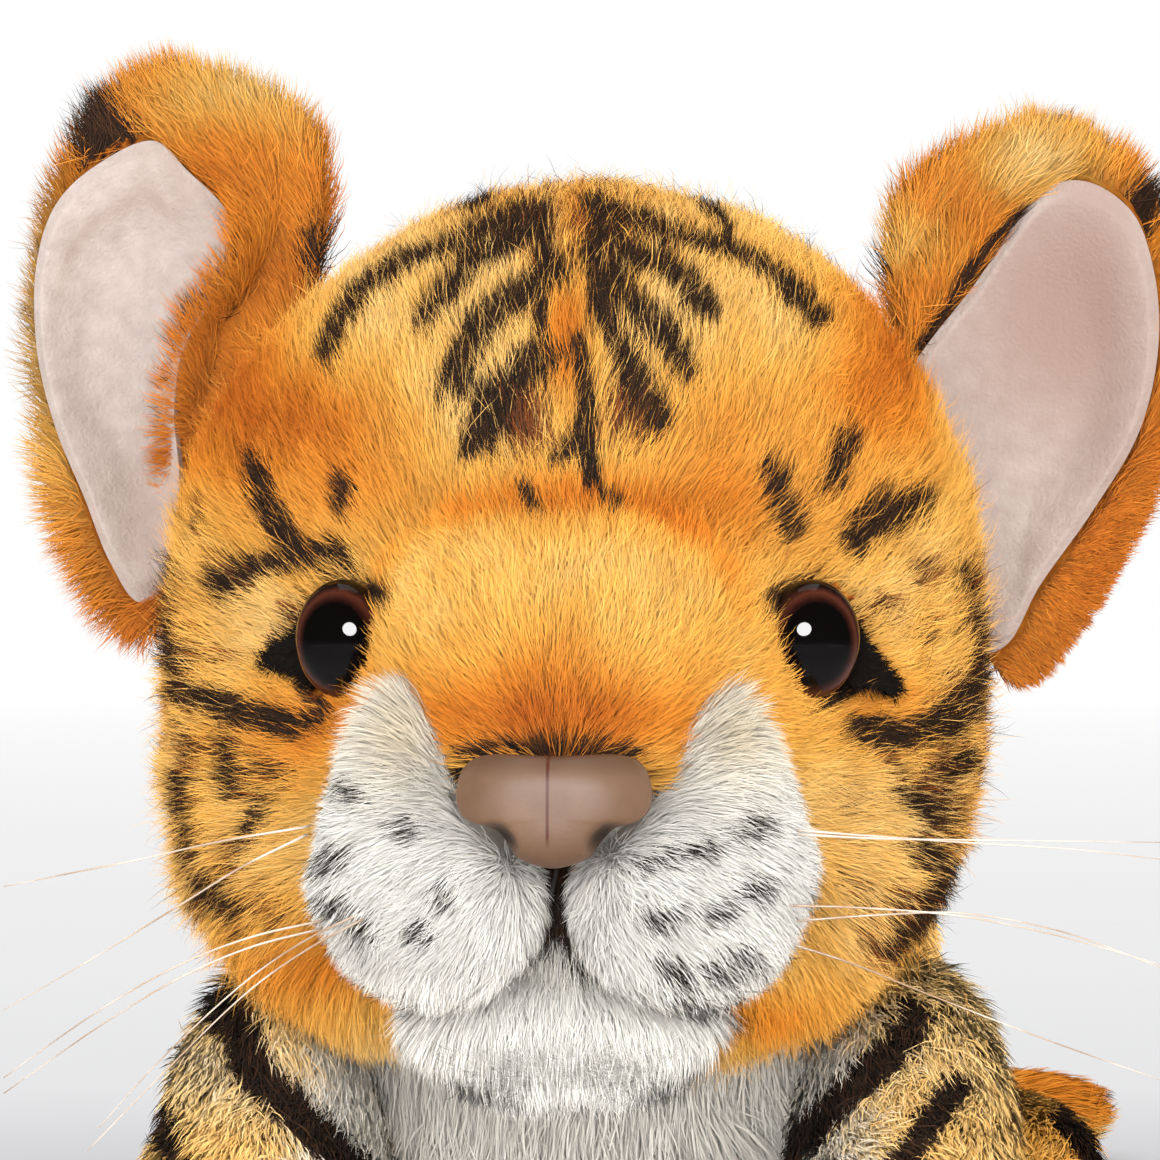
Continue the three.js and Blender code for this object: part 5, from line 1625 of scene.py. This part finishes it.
stuffing = fibre_material("stuffing_fibre", (222, 221, 216), (246, 245, 241), 700, 1.0)
washer = fibre_material("washer_moulded", (212, 212, 206), (228, 228, 223), 300, 0.5)
thread = fibre_material("mouth_thread", (14, 12, 11), (44, 37, 33), 2200, 0.85)
tape = fibre_material("label_tape", (236, 234, 228), (248, 247, 243), 1500, 0.8)
dress(stuffing, "torso_filling", "head_filling", "tail_filling")
dress(stuffing, *(f"{leg}_filling_{word}" for leg in ("foreleg", "hind_leg") for word in ("left", "right")))
dress(washer, "eye_washer_left", "eye_washer_right", "nose_washer")
dress(tape, "sewn_label")
dress(backing_material, "neck_gusset")
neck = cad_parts["neck_gusset"]
# The neck band: one gold-orange pigment, and a darker shade like the fabric under the pile
neck_pigment_and_shade = np.full(len(neck.data.vertices), 0.45)
lay_colours(neck, neck_pigment_and_shade, neck_pigment_and_shade)

# Mouth: the embroidered thread, half sunk in the pile
PHILTRUM = [(557, 868), (552, 892), (547, 918), (545, 938)]
LIPS = [
    [(545, 938), (530, 946), (509, 956), (488, 966), (465, 974), (443, 984), (421, 993)],
    [(545, 938), (562, 946), (579, 962), (597, 977), (618, 988), (640, 995), (662, 999)],
]
THREAD_RADIUS, THREAD_STEPS, MOUTH_REACH = 0.35, 30, 60.0
mouth_trees = list(map(tree_of, (pad_form(-1, 1.6), pad_form(1, 1.6), chin, head_form(2.2, 60, 90))))


def on_muzzle(px, py):
    """The nearest place to the camera that the muzzle has behind a pixel."""
    start, end = from_pixels(px, py, -120.0), from_pixels(px, py, -40.0)
    way = unit(end - start)
    hits = [tree.ray_cast(Vector(start), Vector(way)) for tree in mouth_trees]
    reach = min((hit[3] for hit in hits if hit[0] is not None), default=MOUTH_REACH)
    return start + way * reach


for k, drawn in enumerate([PHILTRUM, *LIPS]):
    trail = np.array([on_muzzle(*catmull(drawn, share)) for share in np.linspace(0, 1, THREAD_STEPS)])
    points, faces = tube(trail, np.full(THREAD_STEPS, THREAD_RADIUS))
    thread_obj = object_from(f"mouth_thread_{k + 1}", points, faces, thread)
    settle(thread_obj, "head", ["mouth_thread"])

# Floor: it fades into the white of the background
FLOOR_REACH, FLOOR_HALF = 5.0, 9
FLOOR_FADE = [(0.0, 1.0), (0.04, 1.0), (0.08, 0.55), (0.16, 0.36), (0.3, 0.25), (0.5, 0.16), (1.0, 0.0)]


def floor_material():
    m, tree, shader = material("studio_floor")
    far = length_of(tree, add(tree, "TexCoord").outputs["Object"])
    grey = [(spot, (level, level, level, 1)) for spot, level in FLOOR_FADE]
    fade = ramp(tree, reckon(tree, "DIVIDE", far, FLOOR_REACH), grey, lambda *rgba: rgba)
    feed(tree, shader, {
        "Base Color": colour(218, 218, 221), "Roughness": 0.9, "Specular IOR Level": 0.1, "Alpha": fade,
    })
    return m


floor_mesh = bpy.data.meshes.new("studio_floor")
floor_corners = [(x * FLOOR_HALF, y * FLOOR_HALF, 0) for x, y in ((-1, -1), (1, -1), (1, 1), (-1, 1))]
floor_mesh.from_pydata(floor_corners, [], [(0, 1, 2, 3)])
floor_mesh.materials.append(floor_material())
floor = link_object("studio_floor", floor_mesh)

# World: white to the camera, dimmer as light and dimmer still in reflections
world = bpy.data.worlds.new("studio")
bpy.context.scene.world = world
world.use_nodes = True
tree = world.node_tree
rays = add(tree, "LightPath").outputs
strength = stretch(tree, rays["Is Camera Ray"], 0, 1, 0.62, 1.0)
strength = reckon(tree, "MULTIPLY_ADD", rays["Is Glossy Ray"], -0.54, strength)
feed(tree, tree.nodes["Background"], {"Color": (1, 1, 1, 1), "Strength": strength})


# Lamps and camera
def aimed(name, data, place, aim):
    obj = link_object(name, data)
    obj.location = place
    obj.rotation_euler = (Vector(aim) - Vector(place)).to_track_quat("-Z", "Y").to_euler()
    return obj


def lamp(name, place, aim, size, power, shape="SQUARE", shine=False, lit=True):
    data = bpy.data.lights.new(name, "AREA")
    data.shape = shape
    data.size = size
    if shape == "ELLIPSE":
        data.size_y = size * 0.62
    data.energy = power
    obj = aimed(name, data, place, aim)
    obj.visible_glossy = shine
    obj.visible_diffuse = lit


face = to_row([0, EYE_PLANE, AIM_HEIGHT])
lamp("key_lamp", (face[0] - 0.55, face[1] - 1.0, 0.95), face, 0.9, 5.6)
lamp("fill_lamp", (face[0] + 0.9, face[1] - 0.7, 0.6), face, 0.8, 3.8)
lamp("low_lamp", (face[0] - 0.1, face[1] - 0.9, 0.1), face - np.array([0, 0, 0.06]), 1.0, 9.0)
for side, word, power in ((-1, "left", 3.0), (1, "right", 4.6)):
    place = (face[0] + 0.85 * side, face[1] - 0.5, 0.16)
    lamp(f"side_lamp_{word}", place, to_row([50 * side, 20, 50]), 0.5, power)
lamp("top_lamp", (face[0], face[1] + 0.25, 1.4), face, 0.8, 3.0, shine=True)
lamp("catch_lamp", (face[0], face[1] - 1.0, face[2] + 0.21), face, 0.5, 24, "ELLIPSE", shine=True, lit=False)

camera_data = bpy.data.cameras.new("photo_camera")
camera_data.sensor_width = 36
camera_data.lens = camera_data.sensor_width * CAMERA_REACH / FRAME_WIDTH
camera_data.shift_x = (FRAME_PIXELS / 2 - MIDDLE_X) / FRAME_PIXELS
camera_way = np.array([math.sin(CAMERA_TURN), -math.cos(CAMERA_TURN), 0])
camera = aimed("photo_camera", camera_data, face + camera_way * CAMERA_REACH * MM, face)
bpy.context.scene.camera = camera
bpy.context.scene.view_settings.view_transform = "Standard"
